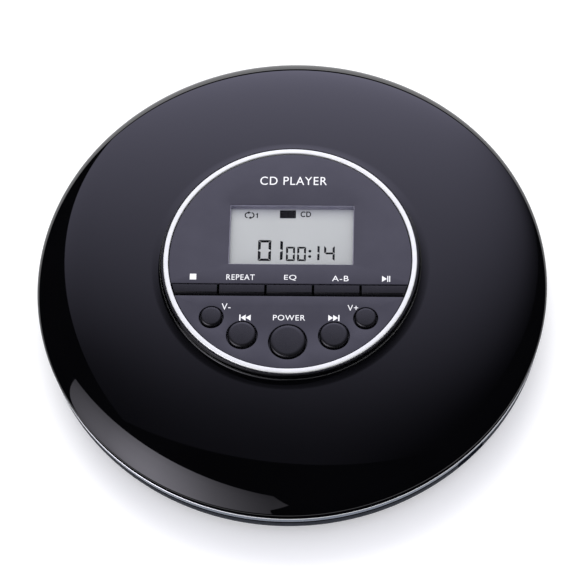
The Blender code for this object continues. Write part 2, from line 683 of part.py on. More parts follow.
def gear_outline(centre, teeth, module, phase):
    """An involute gear with a tooth centred on the angle phase, in radians."""
    pitch_radius = module * teeth / 2
    base_radius = pitch_radius * math.cos(PRESSURE_ANGLE)
    tip_radius = pitch_radius + 0.9 * module
    root_radius = pitch_radius - 1.2 * module

    def involute(radius):
        a = math.acos(min(1.0, base_radius / radius))
        return math.tan(a) - a

    half = math.pi / (2 * teeth) - BACKLASH / (2 * pitch_radius) + involute(pitch_radius)
    start = max(base_radius, root_radius)
    radii = [start, (start + tip_radius) / 2, tip_radius] if teeth < 20 else [start, tip_radius]
    flank = [(r, half - involute(r)) for r in radii]
    points = []
    for i in range(teeth):
        middle = phase + math.tau * i / teeth
        sides = [(root_radius, -half), *[(r, -a) for r, a in flank]]
        sides += [(r, a) for r, a in reversed(flank)] + [(root_radius, half)]
        for r, a in sides:
            points.append((centre[0] + r * math.cos(middle + a), centre[1] + r * math.sin(middle + a)))
    return points


def pinion_centre():
    x, y = polar(PINION_DISTANCE, PINION_ANGLE)
    return GEAR_CENTRE[0] + x, GEAR_CENTRE[1] + y


def gears(white):
    """The compound drive gear: its small wheel drives the rack and its big one meets the pinion."""
    toward = math.radians(PINION_ANGLE)
    bore = circle(0.88, GEAR_CENTRE)
    small = gear_outline(GEAR_CENTRE, GEAR_SMALL_TEETH, RACK_MODULE, 0.0)
    origin = (*GEAR_CENTRE, 8.0)
    wheel = add_object("drive_gear", plate(small, 6.7, 9.4, [bore]), white, origin)
    big = gear_outline(GEAR_CENTRE, GEAR_BIG_TEETH, STAGE_MODULE, toward)
    boolean(wheel, plate(big, 9.2, 10.2, [bore]), "UNION")
    centre = pinion_centre()
    half_step = math.pi / PINION_TEETH
    outline = gear_outline(centre, PINION_TEETH, STAGE_MODULE, toward + math.pi + half_step)
    add_object("motor_pinion", plate(outline, 9.1, 10.3), white, (*centre, 9.0))


def build():
    clear_scene()
    gloss = material("gloss_black", (0.012, 0.012, 0.015), 0.06)
    dark = material("dark_plastic", (0.02, 0.02, 0.024), 0.35)
    keycap = material("key_plastic", (0.016, 0.016, 0.02), 0.25)
    silver = material("silver_trim", (0.85, 0.86, 0.88), 0.18, 1.0)
    band = material("band_grey", (0.28, 0.31, 0.36), 0.25, 0.6)
    steel = material("steel", (0.55, 0.55, 0.57), 0.35, 1.0)
    clear = material("clear_plastic", (0.8, 0.85, 0.88), 0.05)
    crystal = material("liquid_crystal", (0.56, 0.6, 0.63), 0.3)
    white = material("white_plastic", (0.8, 0.8, 0.78), 0.4)
    rubber = material("rubber", (0.03, 0.03, 0.03), 0.8)
    green = material("circuit_green", (0.02, 0.16, 0.07), 0.45)
    orange = material("ribbon_orange", (0.55, 0.25, 0.05), 0.4)
    wrap = material("cell_wrap", (0.35, 0.37, 0.4), 0.4)

    lid_shell(gloss)
    trim_ring(silver)
    upper_panel(gloss)
    lower_panel(gloss)
    display(clear, crystal, white)
    keys(keycap)
    round_buttons(keycap)
    pod_inside(rubber, green, dark, steel)
    ribbons(orange)
    latch(dark, steel)
    base_shell(dark)
    trim_band(band)
    feet_and_screws(rubber, steel)
    disc_deck(dark)
    electronics(green, dark, wrap, steel)
    hold_slider(dark)
    mechanism_plate(steel)
    mechanism_mounts(rubber, steel, dark)
    spindle_hub(dark)
    sled(dark, clear, white)
    gears(white)
    hinge_pin = rod((-9.7, HINGE_Y, HINGE_Z), (9.7, HINGE_Y, HINGE_Z), HINGE_PIN_RADIUS)
    add_object("hinge_pin", hinge_pin, steel)


build()
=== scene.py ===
"""Looks of the portable CD player: fine shapes, finishes, studio light and camera.

Lengths in the shape code are millimetres in the part's own frame; add_piece() makes them metres.
"""

import json
import math

import bmesh
import bpy
from mathutils import Matrix, Vector

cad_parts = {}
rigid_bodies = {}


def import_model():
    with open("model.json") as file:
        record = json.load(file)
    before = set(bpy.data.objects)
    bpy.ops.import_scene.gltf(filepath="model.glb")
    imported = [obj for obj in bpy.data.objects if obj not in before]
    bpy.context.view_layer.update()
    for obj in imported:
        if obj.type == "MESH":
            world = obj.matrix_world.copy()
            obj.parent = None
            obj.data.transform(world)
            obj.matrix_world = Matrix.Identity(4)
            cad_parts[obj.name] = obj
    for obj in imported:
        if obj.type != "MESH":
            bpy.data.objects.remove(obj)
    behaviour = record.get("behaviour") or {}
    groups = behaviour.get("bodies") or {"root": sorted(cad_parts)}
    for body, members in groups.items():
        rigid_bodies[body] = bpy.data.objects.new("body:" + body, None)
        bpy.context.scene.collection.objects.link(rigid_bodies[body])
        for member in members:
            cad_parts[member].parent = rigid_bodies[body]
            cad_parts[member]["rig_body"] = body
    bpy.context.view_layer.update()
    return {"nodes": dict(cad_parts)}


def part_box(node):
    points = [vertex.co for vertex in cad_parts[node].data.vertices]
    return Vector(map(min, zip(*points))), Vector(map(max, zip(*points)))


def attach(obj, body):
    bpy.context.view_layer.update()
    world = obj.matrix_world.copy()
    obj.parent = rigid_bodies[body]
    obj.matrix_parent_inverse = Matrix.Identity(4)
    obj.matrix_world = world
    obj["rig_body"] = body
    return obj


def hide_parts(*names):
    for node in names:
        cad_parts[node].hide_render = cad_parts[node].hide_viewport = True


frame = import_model()
NODES = frame["nodes"]
MM = 0.001

# ---------------------------------------------------------------- finishes


def new_material(name):
    made = bpy.data.materials.new(name)
    made.use_nodes = True
    return made, made.node_tree, made.node_tree.nodes["Principled BSDF"]


def noise(tree, scale, detail=3.0, stretch=(1.0, 1.0, 1.0)):
    place = tree.nodes.new("ShaderNodeTexCoord")
    mapping = tree.nodes.new("ShaderNodeMapping")
    mapping.inputs["Scale"].default_value = stretch
    texture = tree.nodes.new("ShaderNodeTexNoise")
    texture.inputs["Scale"].default_value = scale
    texture.inputs["Detail"].default_value = detail
    tree.links.new(place.outputs["Object"], mapping.inputs["Vector"])
    tree.links.new(mapping.outputs["Vector"], texture.inputs["Vector"])
    return texture.outputs["Fac"]


def ramp(tree, source, low, high, start=0.35, end=0.65):
    made = tree.nodes.new("ShaderNodeValToRGB")
    made.color_ramp.elements[0].position = start
    made.color_ramp.elements[0].color = (*low, 1.0)
    made.color_ramp.elements[1].position = end
    made.color_ramp.elements[1].color = (*high, 1.0)
    tree.links.new(source, made.inputs["Fac"])
    return made.outputs["Color"]


def spread(tree, source, low, high):
    """A noise value mapped to a range."""
    made = tree.nodes.new("ShaderNodeMapRange")
    made.inputs["From Min"].default_value = 0.3
    made.inputs["From Max"].default_value = 0.7
    made.inputs["To Min"].default_value = low
    made.inputs["To Max"].default_value = high
    tree.links.new(source, made.inputs["Value"])
    return made.outputs["Result"]


def bumped(tree, shader, source, strength, depth):
    made = tree.nodes.new("ShaderNodeBump")
    made.inputs["Strength"].default_value = strength
    made.inputs["Distance"].default_value = depth
    tree.links.new(source, made.inputs["Height"])
    tree.links.new(made.outputs["Normal"], shader.inputs["Normal"])


def finish(name, low, high, rough, metallic=0.0, scale=60.0, grain=None, stretch=(1, 1, 1), gloss=0.5,
           coat=0.0):
    """A material whose colour and roughness wander between two values, with an optional fine grain."""
    made, tree, shader = new_material(name)
    wander = noise(tree, scale, 4.0, stretch)
    tree.links.new(ramp(tree, wander, low, high), shader.inputs["Base Color"])
    tree.links.new(spread(tree, noise(tree, scale * 3.1, 3.0, stretch), *rough),
                   shader.inputs["Roughness"])
    shader.inputs["Metallic"].default_value = metallic
    shader.inputs["IOR"].default_value = 1.5
    shader.inputs["Specular IOR Level"].default_value = gloss
    if coat:
        shader.inputs["Coat Weight"].default_value = coat
        shader.inputs["Coat Roughness"].default_value = 0.04
    if grain:
        grain_scale, strength, depth = grain
        bumped(tree, shader, noise(tree, grain_scale, 2.0, stretch), strength, depth)
    return made


def circuit_material():
    """Green lacquer, paler over the tracks."""
    made, tree, shader = new_material("circuit_green_finish")
    place = tree.nodes.new("ShaderNodeTexCoord")
    bricks = tree.nodes.new("ShaderNodeTexBrick")
    bricks.inputs["Scale"].default_value = 420.0
    bricks.inputs["Mortar Size"].default_value = 0.035
    bricks.inputs["Color1"].default_value = (0.012, 0.10, 0.045, 1.0)
    bricks.inputs["Color2"].default_value = (0.016, 0.13, 0.06, 1.0)
    bricks.inputs["Mortar"].default_value = (0.03, 0.22, 0.09, 1.0)
    tree.links.new(place.outputs["Object"], bricks.inputs["Vector"])
    tree.links.new(bricks.outputs["Color"], shader.inputs["Base Color"])
    tree.links.new(spread(tree, noise(tree, 300.0), 0.25, 0.4), shader.inputs["Roughness"])
    return made


def window_material():
    """Clear plastic: nearly all light passes, and a trace of grey dust stays."""
    made, tree, shader = new_material("clear_plastic_finish")
    tree.links.new(ramp(tree, noise(tree, 60.0), (0.02, 0.02, 0.024), (0.03, 0.03, 0.036)),
                   shader.inputs["Base Color"])
    tree.links.new(spread(tree, noise(tree, 90.0), 0.02, 0.06), shader.inputs["Roughness"])
    tree.links.new(spread(tree, noise(tree, 40.0), 0.06, 0.09), shader.inputs["Alpha"])
    return made


# Painted shade on the display: the reflector is darker toward its rear edge, where the window recess shades
# it.
CRYSTAL_REAR_PAINTED_SHADE = (0.39, 0.40, 0.435)
CRYSTAL_FRONT_UNSHADED = (0.535, 0.55, 0.555)
SHADE_REAR_Y = 0.0165  # the reflector's rear and front edges, in metres, where the painted shade runs
SHADE_FRONT_Y = 0.0125


def crystal_material():
    """The display's grey reflector: a fine sparkle, and painted shade that darkens it toward its rear edge.
    """
    made, tree, shader = new_material("liquid_crystal_painted_shade_finish")
    place = tree.nodes.new("ShaderNodeTexCoord")
    split = tree.nodes.new("ShaderNodeSeparateXYZ")
    tree.links.new(place.outputs["Object"], split.inputs["Vector"])
    along = tree.nodes.new("ShaderNodeMapRange")
    along.inputs["From Min"].default_value = SHADE_REAR_Y
    along.inputs["From Max"].default_value = SHADE_FRONT_Y
    tree.links.new(split.outputs["Y"], along.inputs["Value"])
    shade = ramp(tree, along.outputs["Result"], CRYSTAL_REAR_PAINTED_SHADE, CRYSTAL_FRONT_UNSHADED, 0.0, 1.0)
    mix = tree.nodes.new("ShaderNodeMix")
    mix.data_type = "RGBA"
    mix.blend_type = "MULTIPLY"
    mix.inputs["Factor"].default_value = 1.0
    sparkle = ramp(tree, noise(tree, 2600.0, 2.0), (0.95, 0.95, 0.95), (1.0, 1.0, 1.0))
    tree.links.new(shade, mix.inputs["A"])
    tree.links.new(sparkle, mix.inputs["B"])
    tree.links.new(mix.outputs["Result"], shader.inputs["Base Color"])
    shader.inputs["Roughness"].default_value = 0.55
    shader.inputs["Specular IOR Level"].default_value = 0.2
    return made


paints = {
    "gloss_black": finish("gloss_black_finish", (0.0010, 0.0010, 0.0013), (0.0014, 0.0014, 0.0018),
                          (0.018, 0.032), scale=30.0),
    # Painted shade: matte black with no reflection, for the shaded gaps above and below the trim band.
    "seam_black": finish("seam_shade_black_finish", (0.0016, 0.0016, 0.002), (0.0024, 0.0024, 0.003), (0.6, 0.7),
                         scale=400.0, gloss=0.0),
    "panel_black": finish("panel_black_finish", (0.032, 0.031, 0.042), (0.036, 0.035, 0.047),
                          (0.06, 0.10), scale=160.0, grain=(9000.0, 0.04, 0.00002)),
    "dark_plastic": finish("dark_plastic_finish", (0.0145, 0.0145, 0.018), (0.0175, 0.0175, 0.0215),
                           (0.34, 0.42), scale=700.0, grain=(5200.0, 0.15, 0.00003)),
    "case_black": finish("case_black_finish", (0.013, 0.016, 0.023), (0.016, 0.019, 0.027),
                         (0.5, 0.6), scale=700.0, grain=(5200.0, 0.1, 0.00002), gloss=0.05),
    "key_plastic": finish("key_plastic_finish", (0.0035, 0.0034, 0.0045), (0.005, 0.0048, 0.006),
                          (0.20, 0.30), scale=220.0, grain=(7000.0, 0.12, 0.00003)),
    "silver_trim": finish("silver_trim_finish", (0.76, 0.77, 0.745), (0.81, 0.82, 0.795),
                          (0.28, 0.38), 0.45, scale=400.0, grain=(6000.0, 0.08, 0.00002)),
    "band_grey": finish("band_grey_finish", (0.125, 0.148, 0.188), (0.14, 0.165, 0.208),
                        (0.24, 0.3), 0.85, scale=700.0, grain=(5000.0, 0.02, 0.00001)),
    "polished": finish("polished_finish", (0.78, 0.79, 0.80), (0.84, 0.85, 0.86), (0.08, 0.14), 1.0,
                       scale=200.0),
    "steel": finish("steel_finish", (0.42, 0.42, 0.44), (0.56, 0.56, 0.58), (0.22, 0.42), 0.8,
                    scale=260.0, grain=(2400.0, 0.12, 0.00004), stretch=(1, 12, 1)),
    "white_plastic": finish("white_plastic_finish", (0.70, 0.70, 0.67), (0.80, 0.80, 0.78),
                            (0.35, 0.5), scale=90.0, grain=(4200.0, 0.1, 0.00003)),
    "rubber": finish("rubber_finish", (0.018, 0.018, 0.018), (0.023, 0.023, 0.023), (0.75, 0.88),
                     scale=900.0, grain=(3000.0, 0.3, 0.00005)),
    "ribbon_orange": finish("ribbon_orange_finish", (0.42, 0.17, 0.03), (0.62, 0.30, 0.07),
                            (0.22, 0.34), scale=1500.0, stretch=(1.0, 0.02, 0.02)),
    "cell_wrap": finish("cell_wrap_finish", (0.30, 0.32, 0.36), (0.40, 0.42, 0.46), (0.25, 0.45),
                        0.6, scale=120.0, grain=(800.0, 0.25, 0.0001)),
    "ink": finish("label_ink_finish", (0.78, 0.78, 0.79), (0.84, 0.84, 0.85), (0.45, 0.6), scale=900.0),
    "segment": finish("segment_finish", (0.004, 0.004, 0.005), (0.010, 0.010, 0.012), (0.4, 0.55),
                      scale=900.0, gloss=0.0),
    # Grey-blue gasket; on the wide rear strip of the sheet under the display window this colour is painted
    # shade.
    "gasket": finish("gasket_and_shade_strip_finish", (0.21, 0.205, 0.27), (0.25, 0.245, 0.31), (0.4, 0.55),
                     scale=500.0),
    "lens_blue": finish("lens_blue_finish", (0.045, 0.06, 0.15), (0.05, 0.068, 0.17), (0.02, 0.04),
                        scale=700.0, coat=0.5),
    "circuit_green": circuit_material(),
    "clear_plastic": window_material(),
    "liquid_crystal": crystal_material(),
}

# ---------------------------------------------------------------- shape tools


def box_mm(node):
    low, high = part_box(node)
    return low / MM, high / MM


def add_piece(name, made, paint, body, stands_for=(), sharp=35.0):
    """Makes a piece from a bmesh in millimetres and hangs it on a body."""
    bmesh.ops.recalc_face_normals(made, faces=made.faces)
    bmesh.ops.scale(made, vec=(MM, MM, MM), verts=made.verts)
    mesh = bpy.data.meshes.new(name)
    made.to_mesh(mesh)
    made.free()
    obj = bpy.data.objects.new(name, mesh)
    bpy.context.scene.collection.objects.link(obj)
    mesh.shade_smooth()
    mesh.set_sharp_from_angle(angle=math.radians(sharp))
    mesh.materials.append(paints[paint])
    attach(obj, body)
    if stands_for:
        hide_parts(*stands_for)
    return obj


def fine(node, made, slot, paint=None, sharp=35.0):
    """A finer version of one CAD node."""
    body = NODES[node]["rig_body"]
    return add_piece(f"{node}_fine", made, paint or slot, body, (node,), sharp)


def fillet(points, radius, steps=5):
    """Rounds the corners of a closed outline; a corner given no radius stays sharp."""
    out = []
    count = len(points)
    for i, point in enumerate(points):
        here = Vector(point)
        before = Vector(points[i - 1]) - here
        after = Vector(points[(i + 1) % count]) - here
        size = radius[i] if isinstance(radius, (list, tuple)) else radius
        angle = before.angle(after)
        if size <= 0 or angle > math.pi - 0.03:
            out.append(tuple(here))
            continue
        reach = min(size / math.tan(angle / 2), before.length * 0.46, after.length * 0.46)
        start, end = here + before.normalized() * reach, here + after.normalized() * reach
        for k in range(steps + 1):
            t = k / steps
            out.append(tuple(start * (1 - t) ** 2 + here * 2 * t * (1 - t) + end * t**2))
    return out


def turned(profile, centre=(0.0, 0.0), sides=192):
    """A closed outline of (radius, z) points turned about an upright axis."""
    made = bmesh.new()
    points = [made.verts.new((centre[0] + r, centre[1], z)) for r, z in profile]
    edges = [made.edges.new((points[i - 1], points[i])) for i in range(len(points))]
    bmesh.ops.spin(made, geom=points + edges, cent=(*centre, 0.0), axis=(0.0, 0.0, 1.0),
                   angle=math.tau, steps=sides, use_merge=True)
    bmesh.ops.remove_doubles(made, verts=made.verts, dist=1e-5)
    bmesh.ops.dissolve_degenerate(made, dist=1e-6, edges=made.edges)
    on_axis = [e for e in made.edges if not e.link_faces]
    bmesh.ops.delete(made, geom=on_axis, context="EDGES")
    return made


def axis_fillet(profile, radius, steps=4):
    """Rounds every corner of a turned profile that isn't on the axis."""
    sizes = [0.0 if r < 1e-6 else radius for r, _ in profile]
    return fillet(profile, sizes, steps)


def plate(outline, low, high, holes=()):
    """An outline in x and y, with its holes, as a solid between two heights."""
    made = bmesh.new()
    edges = []
    for loop in (outline, *holes):
        points = [made.verts.new((x, y, low)) for x, y in loop]
        edges += [made.edges.new((points[i - 1], points[i])) for i in range(len(points))]
    bmesh.ops.triangle_fill(made, edges=edges, use_beauty=True, use_dissolve=False)
    result = bmesh.ops.extrude_face_region(made, geom=list(made.faces))
    moved = [v for v in result["geom"] if isinstance(v, bmesh.types.BMVert)]
    bmesh.ops.translate(made, vec=(0.0, 0.0, high - low), verts=moved)
    return made


def circle(radius, centre=(0.0, 0.0), sides=96):
    steps = [math.tau * i / sides for i in range(sides)]
    return [(centre[0] + radius * math.cos(a), centre[1] + radius * math.sin(a)) for a in steps]


def rectangle(x0, x1, y0, y1):
    return [(x0, y0), (x1, y0), (x1, y1), (x0, y1)]


def block(x0, x1, y0, y1, z0, z1, round_by=0.0):
    made = plate(rectangle(x0, x1, y0, y1), z0, z1)
    bmesh.ops.dissolve_limit(made, angle_limit=0.01, verts=made.verts, edges=made.edges)
    if round_by:
        bmesh.ops.bevel(made, geom=list(made.edges), offset=round_by, segments=3, profile=0.5,
                        affect="EDGES")
    return made


def rod(start, end, radius, sides=32, round_by=0.0):
    start, end = Vector(start), Vector(end)
    along = end - start
    turn = along.to_track_quat("Z", "Y").to_matrix().to_4x4()
    made = bmesh.new()
    bmesh.ops.create_cone(made, cap_ends=True, segments=sides, radius1=radius, radius2=radius,
                          depth=along.length, matrix=Matrix.Translation((start + end) / 2) @ turn)
    if round_by:
        caps = [e for e in made.edges if len(e.link_faces) == 2
                and any(len(f.verts) > 4 for f in e.link_faces)]
        bmesh.ops.bevel(made, geom=caps, offset=round_by, segments=3, profile=0.5, affect="EDGES")
    return made


def at_angle(made, degrees):
    bmesh.ops.rotate(made, cent=(0, 0, 0), matrix=Matrix.Rotation(math.radians(degrees), 3, "Z"),
                     verts=made.verts)
    return made


def upright(made, degrees):
    """Stands a plate drawn as (radius, z) on edge and turns it to a direction."""
    bmesh.ops.rotate(made, cent=(0, 0, 0), matrix=Matrix.Rotation(math.pi / 2, 3, "X"),
                     verts=made.verts)
    return at_angle(made, degrees)


def joined(shapes):
    """Several bmeshes in one."""
    whole = bmesh.new()
    for shape in shapes:
        mesh = bpy.data.meshes.new("joining")
        shape.to_mesh(mesh)
        shape.free()
        whole.from_mesh(mesh)
        bpy.data.meshes.remove(mesh)
    return whole


def boolean(made, helper_shape, operation="DIFFERENCE"):
    """The bmesh after cutting a helper shape from it, or joining it on."""
    objects = []
    for shape in (made, helper_shape):
        bmesh.ops.recalc_face_normals(shape, faces=shape.faces)
        mesh = bpy.data.meshes.new("boolean")
        shape.to_mesh(mesh)
        shape.free()
        obj = bpy.data.objects.new("boolean", mesh)
        bpy.context.scene.collection.objects.link(obj)
        objects.append(obj)
    target, helper = objects
    modifier = target.modifiers.new("cut", "BOOLEAN")
    modifier.operation = operation
    modifier.solver = "EXACT"
    modifier.object = helper
    result = bmesh.new()
    graph = bpy.context.evaluated_depsgraph_get()
    result.from_mesh(target.evaluated_get(graph).to_mesh())
    for obj in objects:
        mesh = obj.data
        bpy.data.objects.remove(obj)
        bpy.data.meshes.remove(mesh)
    return result


def bevel_edges(made, offset, angle=50.0, segments=3):
    """Rounds the edges that are sharper than an angle."""
    limit = math.radians(angle)
    bmesh.ops.recalc_face_normals(made, faces=made.faces)
    corners = [e for e in made.edges if len(e.link_faces) == 2 and e.calc_face_angle(0.0) > limit]
    bmesh.ops.bevel(made, geom=corners, offset=offset, segments=segments, profile=0.6,
                    affect="EDGES", clamp_overlap=True)
    return made


def polar(radius, degrees):
    a = math.radians(degrees)
    return radius * math.cos(a), radius * math.sin(a)


def chord_end(radius, y):
    """How far out in x a circle reaches at a y."""
    return math.sqrt(radius**2 - y**2)


# ---------------------------------------------------------------- sizes

LID_RADIUS = box_mm("lid_shell")[1].x
LID_EDGE_Z = 14.5
DOME_FOOT_Z = LID_EDGE_Z + 0.4
DOME_RISE = 12.14
DOME_SPREAD = 2.4
DOME_ROUNDING = 1.4
LID_WALL = 1.6
HINGE_Y = 68.3
HINGE_Z = 14.35
POD_SCREW_RADIUS = 31.8
POD_SCREW_ANGLES = (90.0, 210.0, 330.0)
LATCH_ANGLE = -45.0
HOLD_ANGLE = 32.0
FOOT_CIRCLE = 52.0
FOOT_ANGLES = (45.0, 135.0, 225.0, 315.0)
CASE_SCREW_CIRCLE = 57.0
CASE_SCREW_ANGLES = (60.0, 120.0, 240.0, 300.0)
SKIRT = 0.7  # how far a round button's skirt stands out under its hole
BUTTON_PLAY = 0.4
SKIRT_Z = (25.6, 26.25)
KEY_UNDER_Z = 25.6
KEY_ROW_RADIUS = 32.65  # the outer keys end on this circle
LABEL_DEPTH = (-0.01, 0.018)  # below and above the panel
SEGMENT_DEPTH = (-0.01, 0.015)  # below and above the display cell
BAND_INNER = 67.7
GROOVE_TOP = 12.9
GROOVE_BOTTOM = 9.65
SEAM_SHADE_Z = 9.1  # above this height the case takes the seam paint: painted shade for the dark gap under the trim band
LIP_OUT = 0.34  # how far the band's bright lip stands out
JACK_Y = 14.0
JACK_Z = 7.9
SEAT_Z = 15.6
BALL_RADIUS = 1.05
BALL_PLACE = (6.1, 0.0, 16.55)
SLED_TRAVEL = 33.0
SLOT_RADIUS = 4.9
SLOT_START_Y = -14.0
CATCH_ANGLES = (30.0, 150.0, 270.0)

# ---------------------------------------------------------------- lid


def dome_z(radius):
    """Height of the lid's dome at a radius."""
    left = max(0.0, 1.0 - (radius / LID_RADIUS) ** DOME_SPREAD)
    return DOME_FOOT_Z + DOME_RISE * left ** (1.0 / DOME_ROUNDING)


def dome_points(inset, start, end, count):
    """Points down the dome between two radii, or down its inner side when there is an inset."""
    points = []
    for i in range(count):
        t = i / (count - 1)
        radius = start + (end - start) * math.sin(t * math.pi / 2)
        step = 0.02
        slope = (dome_z(radius - step) - dome_z(min(radius + step, LID_RADIUS))) / (2 * step)
        length = math.hypot(1.0, slope)
        points.append((radius - inset * slope / length, dome_z(radius) - inset / length))
    return points


def lid():
    """The dome with its collar and pod, hinge barrels and screw tubes."""
    collar = [(34.55, 27.75), (34.98, 27.7), (35.2, 26.6), (35.45, 25.8)]
    collar = fillet([(34.55, 26.2)] + collar + [(37.4, dome_z(37.4))], [0, 0.08, 0.16, 0.3, 0.35, 0], 6)
    outer = collar[1:-1] + dome_points(0.0, 37.4, 69.97, 90)
    rim = [(69.98, 14.8), (69.9, 14.62), (69.7, 14.52), (69.5, LID_EDGE_Z), (68.3, LID_EDGE_Z)]
    inner = [(68.25, 15.1)] + dome_points(LID_WALL, 36.6, 67.4, 40)[::-1]
    pod = [(35.4, 20.0), (35.3, 19.9), (34.0, 19.9), (33.9, 20.0), (33.9, 23.4), (31.2, 23.4)]
    seat = [(31.2, 26.2), (34.55, 26.2)]
    channel = [(side * chord_end(34.45, y), y)
               for side, y in ((-1, -11.5), (1, -11.5), (1, -7.2), (-1, -7.2))]
    cuts = [block(-5.3, 5.3, 66.9, 69.36, 13.0, HINGE_Z + 1.3),
            block(16.4, 24.2, 22.0, 33.5, 21.2, 22.4), plate(channel, 24.9, 26.6)]
    made = boolean(turned(outer + rim + inner + pod + seat, sides=216), joined(cuts))
    extras = []
    for side in (-1, 1):
        x0, x1 = sorted((5.5 * side, 10.0 * side))
        extras.append(hinge_barrel(x0, x1, block(x0, x1, HINGE_Y - 0.9, HINGE_Y + 0.5, HINGE_Z, 15.5)))
    for angle in POD_SCREW_ANGLES:
        place = polar(POD_SCREW_RADIUS, angle)
        extras.append(turned([(1.0, 21.1), (1.5, 21.1), (1.5, 23.6), (1.0, 23.6)], place, 32))
    shell = fine("lid_shell", boolean(made, joined(extras), "UNION"), "gloss_black", sharp=28.0)
    shell.data.materials.append(paints["dark_plastic"])
    shell.data.materials.append(paints["seam_black"])
    for face in shell.data.polygons:
        centre = face.center / MM
        radius = math.hypot(centre.x, centre.y)
        if centre.z < dome_z(min(radius, 68.0)) - 1.0 and radius < 68.24:
            face.material_index = 1
        # Painted shade: the lid's lowest faces that don't face up take the matte black seam paint, standing
        # for the shaded gap between lid and band.
        elif centre.z < 15.2 and face.normal.z < 0.3:
            face.material_index = 2


def hinge_barrel(x0, x1, web):
    """A barrel of the hinge with its web, bored for the pin."""
    barrel = rod((x0, HINGE_Y, HINGE_Z), (x1, HINGE_Y, HINGE_Z), 1.0, 40)
    bore = rod((x0 - 1, HINGE_Y, HINGE_Z), (x1 + 1, HINGE_Y, HINGE_Z), 0.55, 24)
    return boolean(boolean(barrel, web, "UNION"), bore)


def trim_ring():
    low, high = box_mm("trim_ring")
    inner = high.x - 1.3
    profile = [(inner, low.z), (inner, high.z), (high.x, high.z), (high.x, low.z)]
    fine("trim_ring", turned(fillet(profile, [0.05, 0.2, 0.28, 0.05], 5), sides=288), "silver_trim")


def segment_outline(radius, edge_y, above, sides=160):
    """The part of a circle above or below a chord."""
    edge = math.asin(edge_y / radius)
    start, end = (edge, math.pi - edge) if above else (math.pi - edge, math.tau + edge)
    steps = [start + (end - start) * i / sides for i in range(sides + 1)]
    return [(radius * math.cos(a), radius * math.sin(a)) for a in steps]


def panels():
    low, high = box_mm("upper_panel")
    window = box_mm("display_window")
    gap = 0.15
    hole = fillet(rectangle(window[0].x - gap, window[1].x + gap, window[0].y - gap, window[1].y + gap),
                  0.35, 5)
    outline = segment_outline(high.x, low.y, True)
    made = bevel_edges(plate(outline, low.z, high.z, [hole]), 0.09)
    fine("upper_panel", made, "gloss_black", "panel_black", 30.0)
    low, high = box_mm("lower_panel")
    holes = [circle(r + BUTTON_PLAY, (x, y)) for x, y, r in button_places().values()]
    outline = segment_outline(math.hypot(high.x, high.y), high.y, False)
    made = bevel_edges(plate(outline, low.z, high.z, holes), 0.09)
    fine("lower_panel", made, "gloss_black", "panel_black", 30.0)


def button_places():
    """Middle and visible radius of each round button, from the CAD boxes."""
    places = {}
    for name in ("volume_down", "previous", "power", "next", "volume_up"):
        low, high = box_mm(f"button_{name}")
        middle = (low + high) / 2
        places[f"button_{name}"] = (middle.x, middle.y, (high.x - low.x) / 2 - SKIRT)
    return places


def round_buttons():
    for name, (x, y, radius) in button_places().items():
        low, high = box_mm(name)
        crown = [(radius * t, high.z - 0.16 * t**2) for t in (0.0, 0.2, 0.4, 0.6, 0.75, 0.84)]
        corner = [crown[-1], (radius - 0.1, high.z - 0.36), (radius, high.z - 1.4)]
        edge = fillet(corner, [0, 0.7, 0], 7)[1:-1]
        skirt = [(radius, SKIRT_Z[1]), (radius + SKIRT, SKIRT_Z[1] - 0.05), (radius + SKIRT, SKIRT_Z[0]),
                 (1.5, SKIRT_Z[0]), (1.5, low.z), (0.0, low.z)]
        fine(name, turned(crown + edge + skirt, (x, y), 96), "key_plastic", sharp=40.0)


def keys():
    """The flat keys. The two outer ones end on the panel's circle."""
    for name in ("key_stop", "key_repeat", "key_eq", "key_ab", "key_play"):
        low, high = box_mm(name)
        back, front = high.y, low.y
        corners = [(back, KEY_UNDER_Z), (back, 27.5), (front + 0.8, 27.36), (front + 0.2, 26.6),
                   (front, KEY_UNDER_Z)]
        section = fillet(corners, [0, 0.22, 0.35, 0.5, 0], 6)
        made = bmesh.new()
        ends = []
        reach = chord_end(KEY_ROW_RADIUS, front)
        for side in (-1, 1):
            wide = abs(low.x if side < 0 else high.x) > reach - 0.5
            x = low.x if side < 0 else high.x
            ends.append([made.verts.new((side * chord_end(KEY_ROW_RADIUS, y) if wide else x, y, z))
                         for y, z in section])
        count = len(section)
        for end in ends:
            made.faces.new(end)
        for j in range(count):
            made.faces.new((ends[0][j - 1], ends[0][j], ends[1][j], ends[1][j - 1]))
        made = bevel_edges(made, 0.1, 55.0)
        middle = (low.x + high.x) / 2
        y = (back + front) / 2
        stem = block(middle - 2, middle + 2, y - 1, y + 1, low.z, 25.9)
        fine(name, joined([made, stem]), "key_plastic", sharp=32.0)


def prism(shapes, low, high):
    """Several outlines as plates between the same two heights."""
    return joined([plate(shape, low, high) for shape in shapes])


def lettering(text, left, right, top, bottom, heavier=0.0):
    """Flat letters that fill the given box."""
    curve = bpy.data.curves.new("lettering", "FONT")
    curve.body = text
    curve.extrude = 0.5
    curve.resolution_u = 6
    curve.offset = heavier
    curve.space_character = 1.1
    maker = bpy.data.objects.new("lettering", curve)
    bpy.context.scene.collection.objects.link(maker)
    made = bmesh.new()
    graph = bpy.context.evaluated_depsgraph_get()
    made.from_mesh(maker.evaluated_get(graph).to_mesh())
    bpy.data.objects.remove(maker)
    bpy.data.curves.remove(curve)
    bmesh.ops.remove_doubles(made, verts=made.verts, dist=1e-5)
    xs = [v.co.x for v in made.verts]
    ys = [v.co.y for v in made.verts]
    sx, sy = (right - left) / (max(xs) - min(xs)), (top - bottom) / (max(ys) - min(ys))
    for v in made.verts:
        v.co.x = left + (v.co.x - min(xs)) * sx
        v.co.y = bottom + (v.co.y - min(ys)) * sy
    return made


def flatten(made, low, high):
    """Moves the two sides of a set of letters to two heights."""
    for v in made.verts:
        v.co.z = high if v.co.z > 0 else low
    return made


